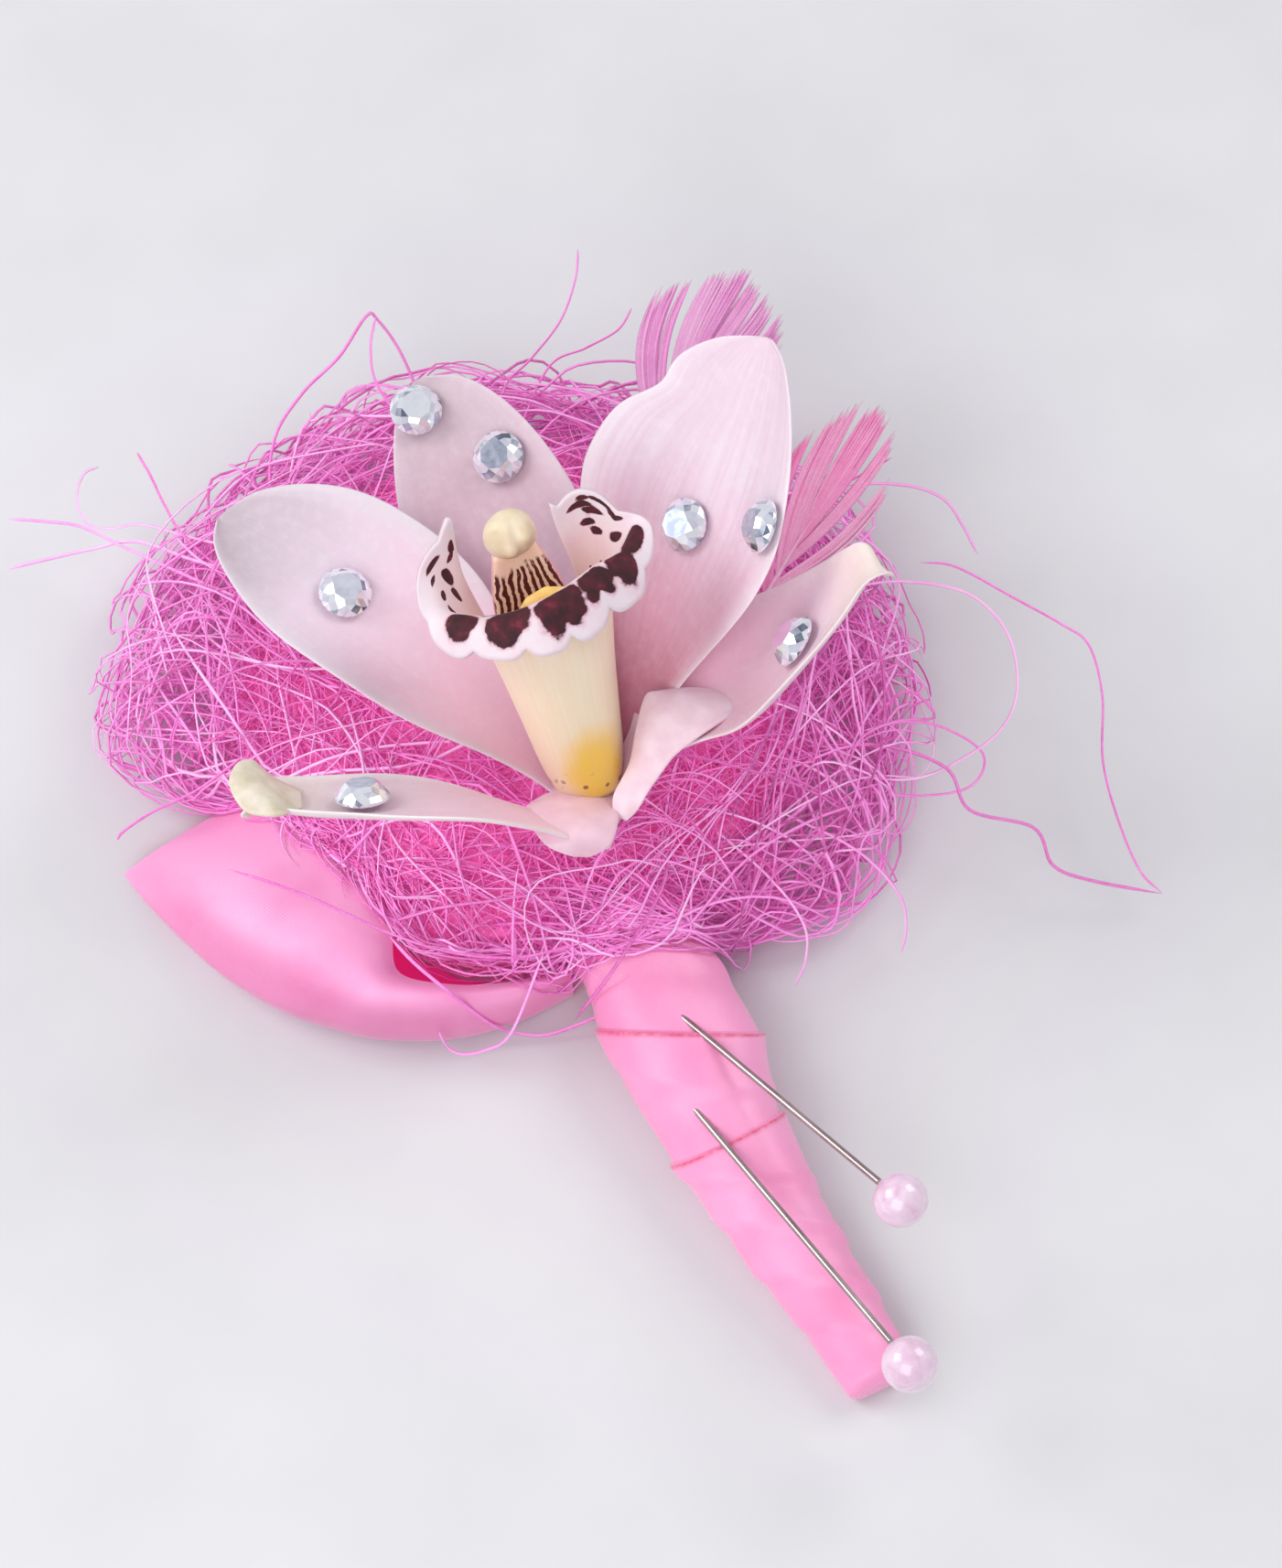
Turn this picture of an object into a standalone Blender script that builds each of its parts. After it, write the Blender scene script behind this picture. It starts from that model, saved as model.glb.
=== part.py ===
"""An orchid corsage lying on its back: one bloom on a nest of dyed sisal, with a satin ribbon
loop, a ribbon-wrapped stem, two feathers, seven rhinestones and two pearl-headed pins.

The origin is on the rest plane beneath the bloom's heart. The wrapped stem runs along -Y and
+Z is up. Lengths below are millimetres and angles are degrees; meshes are written in metres.
"""
import math
import random

import bmesh
import bpy
import numpy as np

MM = 0.001
CLEARANCE = 0.35

# The bloom's heart, the way that it faces, and the way that its dorsal sepal points
HEART = np.array((0.0, 0.0, 20.0))
BLOOM_FACING = (-0.15, 0.26, 0.954)
DORSAL_DIRECTION = (0.16, 0.96, -0.23)

# Each tepal: turn is its angle from the dorsal sepal about the bloom's axis, lean the angle
# from that axis along its midrib, cup the bend of its two halves, share their relative widths.
TEPAL_THICKNESS = 0.9
TEPAL_EDGE_THICKNESS = 0.62
TEPAL_ROWS = 12
TEPAL_COLUMNS = 6
TEPALS = {
    "dorsal_sepal": dict(
        turn=-2, length=50, width=23, start=4.2, rise=-0.6, lean=[40, 50, 58, 63], sway=[0, 0, 2],
        cup=([30, 35, 25], [30, 35, 20]), claw=0.24, peak=0.5, blunt=1.9,
        share=([1, 0.85, 0.7], [1, 1.1, 1.1])),
    "petal_left": dict(
        turn=-41, length=49, width=25, start=4.2, rise=1.3, lean=[34, 46, 57, 58], sway=[0, 0, -3],
        cup=([20, 30, 25], [20, 30, 25]), claw=0.2, peak=0.6, blunt=1.9,
        share=([1, 0.85, 0.85], [1, 1.0, 1.0])),
    "petal_right": dict(
        turn=64, length=51.5, width=28, start=4.2, rise=1.2, lean=[36, 48, 52, 50], sway=[0, -4, -10],
        cup=([20, 30, 25], [20, 30, 60]), claw=0.18, peak=0.6, blunt=1.4,
        share=([1, 1.15, 1.3], [1, 1.0, 1.1])),
    "lateral_sepal_left": dict(
        turn=-86.5, length=44.3, width=19, start=4.2, rise=-1.4, lean=[26, 43, 72, 42],
        sway=[-48, -2, -3, 7], roll=[5, -25, -16, -29], cup=([-20, 0, 30, 40, 40], [20, 20, 20]),
        claw=0.3, peak=0.4, blunt=1.7, share=([1.6, 0.9, 1.6, 0.87, 0.62], [0.41, 0.35, 1.4])),
    "lateral_sepal_right": dict(
        turn=103, length=45, width=21, start=4.2, rise=-1.4, lean=[56, 54, 50, 40],
        sway=[0, -4, -10], roll=[0, 4, 6, 10, 10], cup=([10, 20, 20], [30, 40, 40, 40, 30]),
        claw=0.3, peak=0.45, blunt=1.7, share=([1.0, 2.2, 1.2, 0.9, 0.9], [0.8, 1.0, 1.0, 0.9, 0.9])),
}

# The lip is a trough about an axis that leans towards the dorsal sepal. Each profile runs up
# from its base as (radius, height) and holds at its own angle from the front of the trough.
LIP_LEAN = 18
LIP_SIDE_LEAN = 6.5
LIP_BASE_RISE = 2.7
LIP_BASE_SHIFT = 0.6
LIP_THICKNESS = 0.7
LIP_ROWS = 10
LIP_COLUMNS = 22
LIP_FRILL = 0.45
LIP_FRILL_WAVES = 9
LIP_FRONT = [(3.3, 0), (4.4, 4), (5.4, 11), (6.5, 18), (7.4, 22.6), (9.0, 25.2), (11.0, 25.8), (12.6, 24.8)]
LIP_LOBE = [(3.3, 0), (4.4, 4), (5.4, 11), (6.4, 18), (7.2, 23), (8.0, 27), (8.8, 31), (9.4, 35)]
LIP_EDGE = [(3.3, 0), (4.2, 2.5), (4.9, 6), (5.5, 10), (6.0, 14), (6.4, 17), (6.8, 19.5), (7.2, 21.5)]
LIP_PROFILES = ((0, LIP_FRONT), (72, LIP_FRONT), (98, LIP_LOBE), (122, LIP_EDGE))

# The column, with its half-widths, half-depths and leans at even steps from foot to tip
COLUMN_RISE = 2.75
COLUMN_OFFSET = 1.5
COLUMN_LENGTH = 27.5
COLUMN_LEAN = [33, 31, 26, 18]
COLUMN_SIDE_LEAN = 4
COLUMN_HALF_WIDTH = [1.9, 2.9, 3.7, 4.4, 4.1, 2.6]
COLUMN_HALF_DEPTH = [1.5, 1.8, 2.1, 2.4, 2.4, 1.8]
COLUMN_RINGS = 10
COLUMN_SIDES = 12
ANTHER_RADII = (2.9, 2.6, 2.4)

# Rhinestones: the tepal that each sits on, and its place along and across that tepal
STONE_RADIUS = 3.0
STONE_HEIGHT = 2.2
STONE_SIDES = 10
STONES = [
    ("dorsal_sepal", 0.92, -0.35),
    ("dorsal_sepal", 0.74, 0.5),
    ("petal_left", 0.66, 0.05),
    ("petal_right", 0.56, -0.1),
    ("petal_right", 0.64, 0.75),
    ("lateral_sepal_right", 0.66, 0.1),
    ("lateral_sepal_left", 0.68, -0.15),
]

# The wrapped stem: centre x, half-width and half-height of the wrap at each station along y
WRAP_STATIONS = [
    (-8.5, -0.7, 6.7, 5.5), (-13.2, -1.0, 7.4, 5.8), (-19.0, -0.9, 7.7, 5.9), (-24.2, -1.3, 8.0, 6.0),
    (-30.0, -1.9, 7.4, 5.7), (-38.0, -2.1, 6.2, 4.9), (-46.0, -1.6, 5.1, 4.2), (-51.0, -1.4, 4.7, 3.9),
    (-56.0, -0.8, 4.2, 3.5), (-62.0, 0.0, 3.7, 3.1), (-67.0, 0.3, 3.4, 2.7), (-70.0, 0.3, 2.9, 2.4)]
# How far each turn of ribbon slants: y of the turn, then its slope across and up the stem
WRAP_SLANTS = [
    (-8.5, 0.0, 0.0), (-13.2, -0.15, -0.15), (-19.0, -0.3, -0.35), (-24.2, -0.53, -0.6),
    (-30.0, -0.25, -0.55), (-38.0, 0.05, -0.5), (-46.0, 0.0, -0.25), (-56.0, 0.0, 0.0)]
WRAP_SEAMS = (-24.2, -38.0)
WRAP_OVERLAP = 0.45
WRAP_THICKNESS = 1.1
WRAP_SIDES = 16
FLAT_DEPTH = 0.3
STEM_PATH = [(0.0, 3.2, 9.8), (0.0, 3.2, 8.4), (0.0, 1.3, 6.5), (0.0, -1.8, 5.5), (-0.3, -6.0, 5.3)]
STEM_RADII = [3.0, 3.2, 3.4, 3.5, 3.6]
STEM_END = -66.5
PEDICEL_RADII = [2.6, 2.6, 2.8, 3.4, 3.3, 2.5]
PEDICEL_RISES = [-1.2, 0.4, 1.7]

# The corsage pins: where each enters the wrap, its pearl's centre, and its overall length
PIN_RADIUS = 0.4
PIN_HOLE_RADIUS = 0.75
PIN_LENGTH = 46.0
PEARL_RADIUS = 3.0
PINS = [((-0.4, -29.1, 12.0), (8.3, -58.2, 18.0)), ((-4.6, -38.1, 10.3), (0.9, -74.4, 16.0))]

# The ribbon loop's sections: outer edge, inner edge of its top layer, height, floor length
LOOP_THICKNESS = 0.8
LOOP_STATIONS = [
    ((-9.3, -12.9), (-9.2, -11.0), 5.0, 2.5), ((-16.9, -13.6), (-16.7, -10.8), 8.0, 6.0),
    ((-24.7, -12.5), (-23.0, -9.2), 10.5, 9.0), ((-32.2, -9.0), (-27.6, -5.6), 11.5, 12.0),
    ((-36.5, -5.5), (-26.0, 0.0), 12.0, 14.0), ((-40.5, -1.5), (-25.0, 7.0), 12.0, 17.0),
    ((-44.4, 4.9), (-26.0, 14.0), 11.0, 19.0), ((-47.0, 12.0), (-28.0, 20.0), 9.0, 19.0),
    ((-48.8, 19.0), (-31.0, 24.5), 6.0, 17.0), ((-49.6, 24.2), (-34.0, 26.8), 3.0, 14.0)]
LOOP_SECTION = [(1.0, 0.86), (0.72, 0.97), (0.45, 1.0), (0.2, 0.86), (0.03, 0.55), (0.0, 0.38), (0.05, 0.16),
                (0.2, 0.0), (0.6, 0.0), (1.0, 0.0)]
LOOP_FLOOR = 0.15
LOOP_COLUMNS = 12
LOOP_ROWS = 18

# The feathers: root, tip, half-width of the fan at the tip, and how many barb groups it has
FEATHERS = {
    "feather_top": dict(root=(17.0, 36.0, 15.0), tip=(47.5, 54.0, 28.0), spread=9.0, groups=7, fork=0.35),
    "feather_side": dict(root=(17.0, 8.0, 15.5), tip=(53.0, 31.0, 25.0), spread=5.5, groups=6, fork=0.5),
}
QUILL_RADIUS = 0.6
BARB_HALF_WIDTH = 1.9
BARB_HALF_THICKNESS = 0.36

# The sisal nest: a felted pad, and the loose fibres that stand out of it
NEST_CENTRE = (0.0, 23.0)
PAD_RADIUS = 34.0
PAD_HEIGHT = 15.5
PAD_WAIST = 5.0
PAD_FLATNESS = 5.0
PAD_FLOOR = 27.0
PAD_SIDES = 18
NEST_RIM = 47.0
NEST_ROOM = 0.48
STRANDS = 52
STRAND_POINTS = 10
STRAND_RADIUS = 0.45
STRAND_SEED = 7
OVERLAP_ANGLE = 232
OVERLAP_LEVEL = 14.5
STRAYS = [
    ((-22.0, 40.0), (-38.0, 48.0, 20.0), (-48.0, 62.0, 15.0)),
    ((24.0, 12.0), (44.0, -10.0, 10.0), (57.0, -31.0, 3.0)),
    ((8.0, 46.0), (14.0, 60.0, 20.0), (29.0, 67.0, 24.0)),
    ((-26.0, 26.0), (-42.0, 33.0, 12.5), (-50.5, 30.0, 6.0))]

FINISHES = {
    "petal": ((0.86, 0.66, 0.74), 0.45, 0.0), "lip": ((0.95, 0.84, 0.68), 0.4, 0.0),
    "column": ((0.9, 0.66, 0.62), 0.4, 0.0), "anther": ((0.95, 0.88, 0.62), 0.5, 0.0),
    "stalk": ((0.5, 0.62, 0.3), 0.5, 0.0), "tape": ((0.3, 0.45, 0.22), 0.7, 0.0),
    "satin": ((1.0, 0.5, 0.7), 0.35, 0.0), "sisal": ((0.82, 0.32, 0.62), 0.6, 0.0),
    "pale_feather": ((0.85, 0.5, 0.72), 0.8, 0.0), "hot_feather": ((1.0, 0.42, 0.66), 0.8, 0.0),
    "stone": ((0.85, 0.88, 0.92), 0.05, 0.0), "steel": ((0.7, 0.7, 0.72), 0.25, 1.0),
    "pearl": ((0.96, 0.84, 0.88), 0.2, 0.0),
}


def unit(vector):
    vector = np.asarray(vector, float)
    return vector / np.linalg.norm(vector)


FACING = unit(BLOOM_FACING)
DORSAL = unit(np.array(DORSAL_DIRECTION) - FACING * np.dot(DORSAL_DIRECTION, FACING))
SIDE = np.cross(DORSAL, FACING)


def ease(values, u):
    """A smooth value, or point, at u of a list spread evenly from 0 to 1."""
    values = np.asarray(values, float)
    last = len(values) - 1
    place = min(max(u, 0.0), 1.0) * last
    i = min(int(place), last - 1)
    t = place - i
    p1, p2 = values[i], values[i + 1]
    p0 = values[i - 1] if i > 0 else 2 * p1 - p2
    p3 = values[i + 2] if i + 2 <= last else 2 * p2 - p1
    return 0.5 * (2 * p1 + (p2 - p0) * t + (2 * p0 - 5 * p1 + 4 * p2 - p3) * t ** 2
                  + (3 * p1 - p0 - 3 * p2 + p3) * t ** 3)


def smoothstep(t):
    t = min(max(t, 0.0), 1.0)
    return t * t * (3 - 2 * t)


def surface_normals(points):
    """Unit normals of a grid of points, on the side given by its rows and columns."""
    normals = np.cross(np.gradient(points, axis=0), np.gradient(points, axis=1))
    return normals / np.linalg.norm(normals, axis=2, keepdims=True)


def volume(vertices, faces):
    corners = np.asarray(vertices)[np.asarray(faces)]
    return np.einsum("ij,ij->i", corners[:, 0], np.cross(corners[:, 1], corners[:, 2])).sum() / 6


def facing_out(vertices, faces):
    """The same triangles, turned so that a closed body's faces point out."""
    vertices = np.asarray(vertices, float)
    if volume(vertices, faces) < 0:
        faces = [tuple(reversed(face)) for face in faces]
    return vertices, faces


def thick_sheet(points, thickness):
    """A closed sheet about a grid of points, both faces split into triangles alike."""
    rows, columns = points.shape[:2]
    offset = surface_normals(points) * np.asarray(thickness)[..., None] / 2
    vertices = np.concatenate([(points + offset).reshape(-1, 3), (points - offset).reshape(-1, 3)])
    back = rows * columns
    faces = []
    for i in range(rows - 1):
        for j in range(columns - 1):
            a, b = i * columns + j, i * columns + j + 1
            c, d = b + columns, a + columns
            faces += [(a, b, c), (a, c, d), (a + back, c + back, b + back), (a + back, d + back, c + back)]
    edge = list(range(columns - 1))
    edge += [i * columns + columns - 1 for i in range(rows - 1)]
    edge += [(rows - 1) * columns + j for j in range(columns - 1, 0, -1)]
    edge += [i * columns for i in range(rows - 1, 0, -1)]
    for here, there in zip(edge, edge[1:] + edge[:1]):
        faces += [(here, here + back, there + back), (here, there + back, there)]
    return facing_out(vertices, faces)


def loft(rings):
    """A closed body through rings of points, with flat caps at both ends."""
    sides = len(rings[0])
    middles = [np.mean(rings[0], axis=0), np.mean(rings[-1], axis=0)]
    vertices = np.concatenate([np.concatenate(rings), middles])
    first, last = len(vertices) - 2, len(vertices) - 1
    faces = []
    for i in range(len(rings) - 1):
        for j in range(sides):
            a, b = i * sides + j, i * sides + (j + 1) % sides
            faces += [(a, b, b + sides), (a, b + sides, a + sides)]
    end = (len(rings) - 1) * sides
    for j in range(sides):
        faces += [(first, (j + 1) % sides, j), (last, end + j, end + (j + 1) % sides)]
    return facing_out(vertices, faces)


def tube_rings(path, half_widths, half_heights, side_axis, sides):
    """Rings along a path, as wide as given along the side axis and as high across it."""
    path = np.asarray(path, float)
    side = np.asarray(side_axis, float)
    angles = 2 * math.pi * (np.arange(sides) + 0.5) / sides
    rings = []
    for place, tangent, wide, high in zip(path, np.gradient(path, axis=0), half_widths, half_heights):
        tangent = unit(tangent)
        side = unit(side - tangent * np.dot(side, tangent))
        up = np.cross(tangent, side)
        rings.append(place + np.outer(np.cos(angles) * wide, side) + np.outer(np.sin(angles) * high, up))
    return rings


def sweep(path, half_widths, half_heights, side_axis, sides):
    """A closed tube along a path."""
    return loft(tube_rings(path, half_widths, half_heights, side_axis, sides))


def material(finish):
    """One Principled material for each object, in the finish's colour."""
    colour, roughness, metallic = FINISHES[finish]
    made = bpy.data.materials.new(finish)
    made.use_nodes = True
    shader = made.node_tree.nodes["Principled BSDF"]
    shader.inputs["Base Color"].default_value = (*colour, 1.0)
    shader.inputs["Roughness"].default_value = roughness
    shader.inputs["Metallic"].default_value = metallic
    return made


def add_body(name, body, finish=None, collection=None):
    """A new object from a body's vertices, in millimetres, and its faces."""
    vertices, faces = body
    mesh = bpy.data.meshes.new(name)
    mesh.from_pydata((np.asarray(vertices) * MM).tolist(), [], [tuple(map(int, face)) for face in faces])
    mesh.shade_smooth()
    made = bpy.data.objects.new(name, mesh)
    (collection or bpy.context.scene.collection).objects.link(made)
    if finish:
        mesh.materials.append(material(finish))
    return made


def add_cutter(name, body):
    made = add_body(name, body)
    made.hide_render = True
    made.display_type = "WIRE"
    return made


def cut(target, cutter):
    boolean = target.modifiers.new("cut", "BOOLEAN")
    boolean.operation = "DIFFERENCE"
    boolean.object = cutter


def combine(target, bodies, operation, solver="EXACT"):
    """Join bodies to an object, or cut them from it, in one applied Boolean."""
    operands = bpy.data.collections.new("operands")
    bpy.context.scene.collection.children.link(operands)
    for number, body in enumerate(bodies):
        add_body(f"operand_{number}", body, collection=operands)
    boolean = target.modifiers.new(operation.lower(), "BOOLEAN")
    boolean.operation = operation
    boolean.operand_type = "COLLECTION"
    boolean.collection = operands
    boolean.solver = solver
    depsgraph = bpy.context.evaluated_depsgraph_get()
    result = bpy.data.meshes.new_from_object(target.evaluated_get(depsgraph))
    target.modifiers.remove(boolean)
    for operand in list(operands.objects):
        bpy.data.objects.remove(operand)
    bpy.data.collections.remove(operands)
    target.data = result


def keep_largest(target):
    """Drop the loose scraps that a cut leaves beside an object's main body."""
    shape = bmesh.new()
    shape.from_mesh(target.data)
    shape.verts.ensure_lookup_table()
    seen = set()
    islands = []
    for start in shape.verts:
        if start.index in seen:
            continue
        island, queue = [], [start]
        seen.add(start.index)
        while queue:
            vertex = queue.pop()
            island.append(vertex)
            for edge in vertex.link_edges:
                other = edge.other_vert(vertex)
                if other.index not in seen:
                    seen.add(other.index)
                    queue.append(other)
        islands.append(island)
    islands.sort(key=len)
    scraps = [vertex for island in islands[:-1] for vertex in island]
    bmesh.ops.delete(shape, geom=scraps, context="VERTS")
    bmesh.ops.triangulate(shape, faces=shape.faces)
    shape.to_mesh(target.data)
    shape.free()


def outline(u, claw, peak, blunt):
    """Half-width share at u: a narrow claw, its widest at peak, and a rounded tip."""
    if u < peak:
        return claw + (1 - claw) * smoothstep(u / peak) ** 0.8
    t = (u - peak) / (1 - peak)
    return max(1 - t ** blunt, 0.0) ** (1 / 1.9) * 0.97 + 0.03


def tepal_stations(turn, length, start, rise, lean, sway, roll, steps):
    """Places along a tepal's midrib, each with its across and inward directions."""
    place = HEART + FACING * rise
    stations = []
    for k in range(steps + 1):
        u = k / steps
        angle = math.radians(turn + ease(sway, u))
        tilt = math.radians(ease(lean, u))
        out = DORSAL * math.cos(angle) + SIDE * math.sin(angle)
        around = SIDE * math.cos(angle) - DORSAL * math.sin(angle)
        forward = FACING * math.cos(tilt) + out * math.sin(tilt)
        place = place + (forward * length / steps if k else out * start)
        inward = FACING * math.sin(tilt) - out * math.cos(tilt)
        twist = math.radians(ease(roll, u))
        stations.append((place, around * math.cos(twist) + inward * math.sin(twist),
                         inward * math.cos(twist) - around * math.sin(twist)))
    return stations


def tepal_grid(name, rows=TEPAL_ROWS, columns=TEPAL_COLUMNS, grow=0.0):
    """A tepal's middle surface as a grid of points, its edges moved out by grow."""
    shape = dict(roll=[0, 0])
    shape.update(TEPALS[name])
    steps = rows * 8
    stations = tepal_stations(
        shape["turn"], shape["length"] + 2 * grow, shape["start"] - grow, shape["rise"],
        shape["lean"], shape["sway"], shape["roll"], steps)
    points = np.zeros((rows + 1, columns + 1, 3))
    for i in range(rows + 1):
        u = i / rows
        place, across, inward = stations[i * 8]
        half = shape["width"] / 2 * outline(u, shape["claw"], shape["peak"], shape["blunt"])
        for j in range(columns + 1):
            w = 2 * j / columns - 1
            side = int(w > 0)
            bend = math.radians(ease(shape["cup"][side], u)) or 1e-6
            reach = (half * ease(shape["share"][side], u) + grow) / bend
            points[i, j] = (place + across * math.copysign(reach * math.sin(abs(w) * bend), w)
                            + inward * reach * (1 - math.cos(w * bend)))
    return points


def tepal_body(name, grow=0.0):
    points = tepal_grid(name, grow=grow)
    across = np.abs(np.linspace(-1, 1, points.shape[1]))
    thickness = TEPAL_THICKNESS - (TEPAL_THICKNESS - TEPAL_EDGE_THICKNESS) * across ** 2 + 2 * grow
    return thick_sheet(points, np.broadcast_to(thickness, points.shape[:2]))


def lip_body():
    lean = math.radians(LIP_LEAN)
    upright = FACING * math.cos(lean) + DORSAL * math.sin(lean)
    axis = unit(upright + SIDE * math.tan(math.radians(LIP_SIDE_LEAN)))
    front = FACING * math.sin(lean) - DORSAL * math.cos(lean)
    side = np.cross(axis, front)
    side = side * math.copysign(1.0, np.dot(side, SIDE))
    base = HEART + FACING * LIP_BASE_RISE - DORSAL * LIP_BASE_SHIFT
    span = LIP_PROFILES[-1][0]
    points = np.zeros((LIP_ROWS + 1, LIP_COLUMNS + 1, 3))
    for j in range(LIP_COLUMNS + 1):
        angle = span * (2 * j / LIP_COLUMNS - 1)
        k = max(i for i, (start, _) in enumerate(LIP_PROFILES[:-1]) if abs(angle) >= start)
        (low, below), (high, above) = LIP_PROFILES[k], LIP_PROFILES[k + 1]
        blend = smoothstep((abs(angle) - low) / (high - low))
        turn = math.radians(angle)
        for i in range(LIP_ROWS + 1):
            v = i / LIP_ROWS
            radius, height = (1 - blend) * ease(below, v) + blend * ease(above, v)
            height += LIP_FRILL * math.cos(LIP_FRILL_WAVES * turn) * smoothstep((v - 0.7) / 0.3)
            points[i, j] = base + axis * height + (front * math.cos(turn) + side * math.sin(turn)) * radius
    return thick_sheet(points, np.full(points.shape[:2], LIP_THICKNESS))


def column_path():
    """Places up the column's middle, each with the direction that it runs in."""
    place = HEART + FACING * COLUMN_RISE + DORSAL * COLUMN_OFFSET
    path = []
    for k in range(COLUMN_RINGS):
        u = k / (COLUMN_RINGS - 1)
        lean = math.radians(ease(COLUMN_LEAN, u))
        forward = FACING * math.cos(lean) + DORSAL * math.sin(lean)
        forward = unit(forward + SIDE * math.tan(math.radians(COLUMN_SIDE_LEAN)))
        if k:
            place = place + forward * COLUMN_LENGTH / (COLUMN_RINGS - 1)
        path.append((place, forward))
    return path


def column_body():
    """The column, rounded behind and flattened on the side that faces the lip."""
    rings = []
    for k, (place, forward) in enumerate(column_path()):
        u = k / (COLUMN_RINGS - 1)
        back = unit(np.cross(forward, SIDE))
        wide, deep = ease(COLUMN_HALF_WIDTH, u), ease(COLUMN_HALF_DEPTH, u)
        angles = 2 * math.pi * np.arange(COLUMN_SIDES) / COLUMN_SIDES
        depth = np.sin(angles) * deep * np.where(np.sin(angles) < 0, 0.45, 1.0)
        if np.dot(back, DORSAL) < 0:
            back = -back
        rings.append(place + np.outer(np.cos(angles) * wide, SIDE) + np.outer(depth, back))
    return loft(rings)


def ball(centre, radii, axes, rings, sides):
    """An ellipsoid with its poles on the last of its three axes."""
    levels = [-math.pi / 2 + math.pi * (i + 0.5) / rings for i in range(rings)]
    angles = 2 * math.pi * np.arange(sides) / sides
    side, back, pole = axes
    return loft([centre + math.sin(level) * radii[2] * pole
                 + np.outer(np.cos(angles) * math.cos(level) * radii[0], side)
                 + np.outer(np.sin(angles) * math.cos(level) * radii[1], back) for level in levels])


def anther_body():
    tip, forward = column_path()[-1]
    back = np.cross(forward, SIDE)
    centre = tip + forward * (ANTHER_RADII[2] + CLEARANCE)
    return ball(centre, ANTHER_RADII, (SIDE, back, forward), 8, 12)


def stone_body(tepal, u, w):
    """A flat-backed stone seated just clear of a tepal's inner face."""
    points = tepal_grid(tepal, rows=50, columns=20)
    i, j = round(u * 50), round((w + 1) * 10)
    normal = surface_normals(points)[i, j]
    if np.dot(normal, HEART + FACING * 60 - points[i, j]) < 0:
        normal = -normal
    side = unit(np.cross(normal, FACING))
    back = np.cross(normal, side)
    near = points.reshape(-1, 3)
    near = near[np.linalg.norm(near - points[i, j], axis=1) < 1.25 * STONE_RADIUS]
    lift = max((near - points[i, j]) @ normal) + TEPAL_THICKNESS / 2 + CLEARANCE
    seat = points[i, j] + normal * lift
    angles = 2 * math.pi * np.arange(STONE_SIDES) / STONE_SIDES
    circle = np.outer(np.cos(angles), side) + np.outer(np.sin(angles), back)
    return loft([seat + circle * STONE_RADIUS, seat + circle * STONE_RADIUS + normal * 0.5,
                 seat + circle * STONE_RADIUS * 0.62 + normal * STONE_HEIGHT])


def pedicel_body(grow=0.0):
    """The bloom's stalk, swelling into the seat that the tepals stand round."""
    foot = np.array(STEM_PATH[0]) + (0.0, 0.0, 1.3 * CLEARANCE)
    rises = [HEART + FACING * rise for rise in PEDICEL_RISES]
    path = [foot, foot + (0.0, 0.0, 2.0), foot + (0.0, -1.8, 5.5), *rises]
    radii = [radius + grow for radius in PEDICEL_RADII]
    if grow:
        path.insert(0, foot - (0.0, 0.0, 2 * grow))
        radii.insert(0, radii[0])
    return sweep(path, radii, radii, (1, 0, 0), 12)


def wrap_section(y):
    """Centre x, half-width and half-height of the wrapped stem at a station."""
    stations = np.array(WRAP_STATIONS)[::-1]
    return [float(np.interp(y, stations[:, 0], stations[:, k])) for k in (1, 2, 3)]


def wrap_ring(y, inset, station=None):
    """One ring of the wrap, moved in by inset, its flat spot on the rest plane."""
    station = y if station is None else station
    centre, wide, high = wrap_section(station)
    slants = np.array(WRAP_SLANTS)[::-1]
    slant_x, slant_z = (float(np.interp(station, slants[:, 0], slants[:, k])) for k in (1, 2))
    level = high - FLAT_DEPTH
    angles = 2 * math.pi * (np.arange(WRAP_SIDES) + 0.5) / WRAP_SIDES
    x = np.cos(angles) * (wide - inset)
    z = np.maximum(np.sin(angles) * (high - inset), -level + max(inset, 0.0))
    return np.stack([centre + x, y + slant_x * x + slant_z * z, level + z], axis=1)


def wrap_rings(inset=0.0, overlap=WRAP_OVERLAP):
    """Rings from the wrap's top to its end, stepping out at each seam."""
    rings = [wrap_ring(WRAP_STATIONS[0][0] - inset, inset)] if inset < 0 else []
    step = 0.0
    for y, *_ in WRAP_STATIONS:
        rings.append(wrap_ring(y, inset - step))
        if y in WRAP_SEAMS:
            step += overlap
            rings.append(wrap_ring(y - 0.35, inset - step, station=y))
    return rings


def wrap_body():
    """A sleeve of ribbon with a folded end, open at its top."""
    outer = wrap_rings() + [wrap_ring(WRAP_STATIONS[-1][0] - 1.2, 0.9)]
    inner = wrap_rings(WRAP_THICKNESS, overlap=0.0)[:-1]
    outside, outer_faces = loft(outer)
    inside, inner_faces = loft(inner)
    # A loft's last two points are the middles of its caps: here the first caps come off
    mouth, inner_mouth = len(outside) - 2, len(inside) - 2
    faces = [face for face in outer_faces if mouth not in face]
    shift = len(outside)
    faces += [tuple(v + shift for v in reversed(face)) for face in inner_faces if inner_mouth not in face]
    rim = [(j, (j + 1) % WRAP_SIDES) for j in range(WRAP_SIDES)]
    turned = any(set(zip(face, face[1:] + face[:1])) & {rim[0]} for face in faces)
    for j, k in rim:
        here, there = (k, j) if turned else (j, k)
        faces += [(here, there, there + shift), (here, there + shift, here + shift)]
    vertices = np.concatenate([outside, inside])
    used = sorted({v for face in faces for v in face})
    renumbered = {v: i for i, v in enumerate(used)}
    return vertices[used], [tuple(renumbered[v] for v in face) for face in faces]


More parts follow.
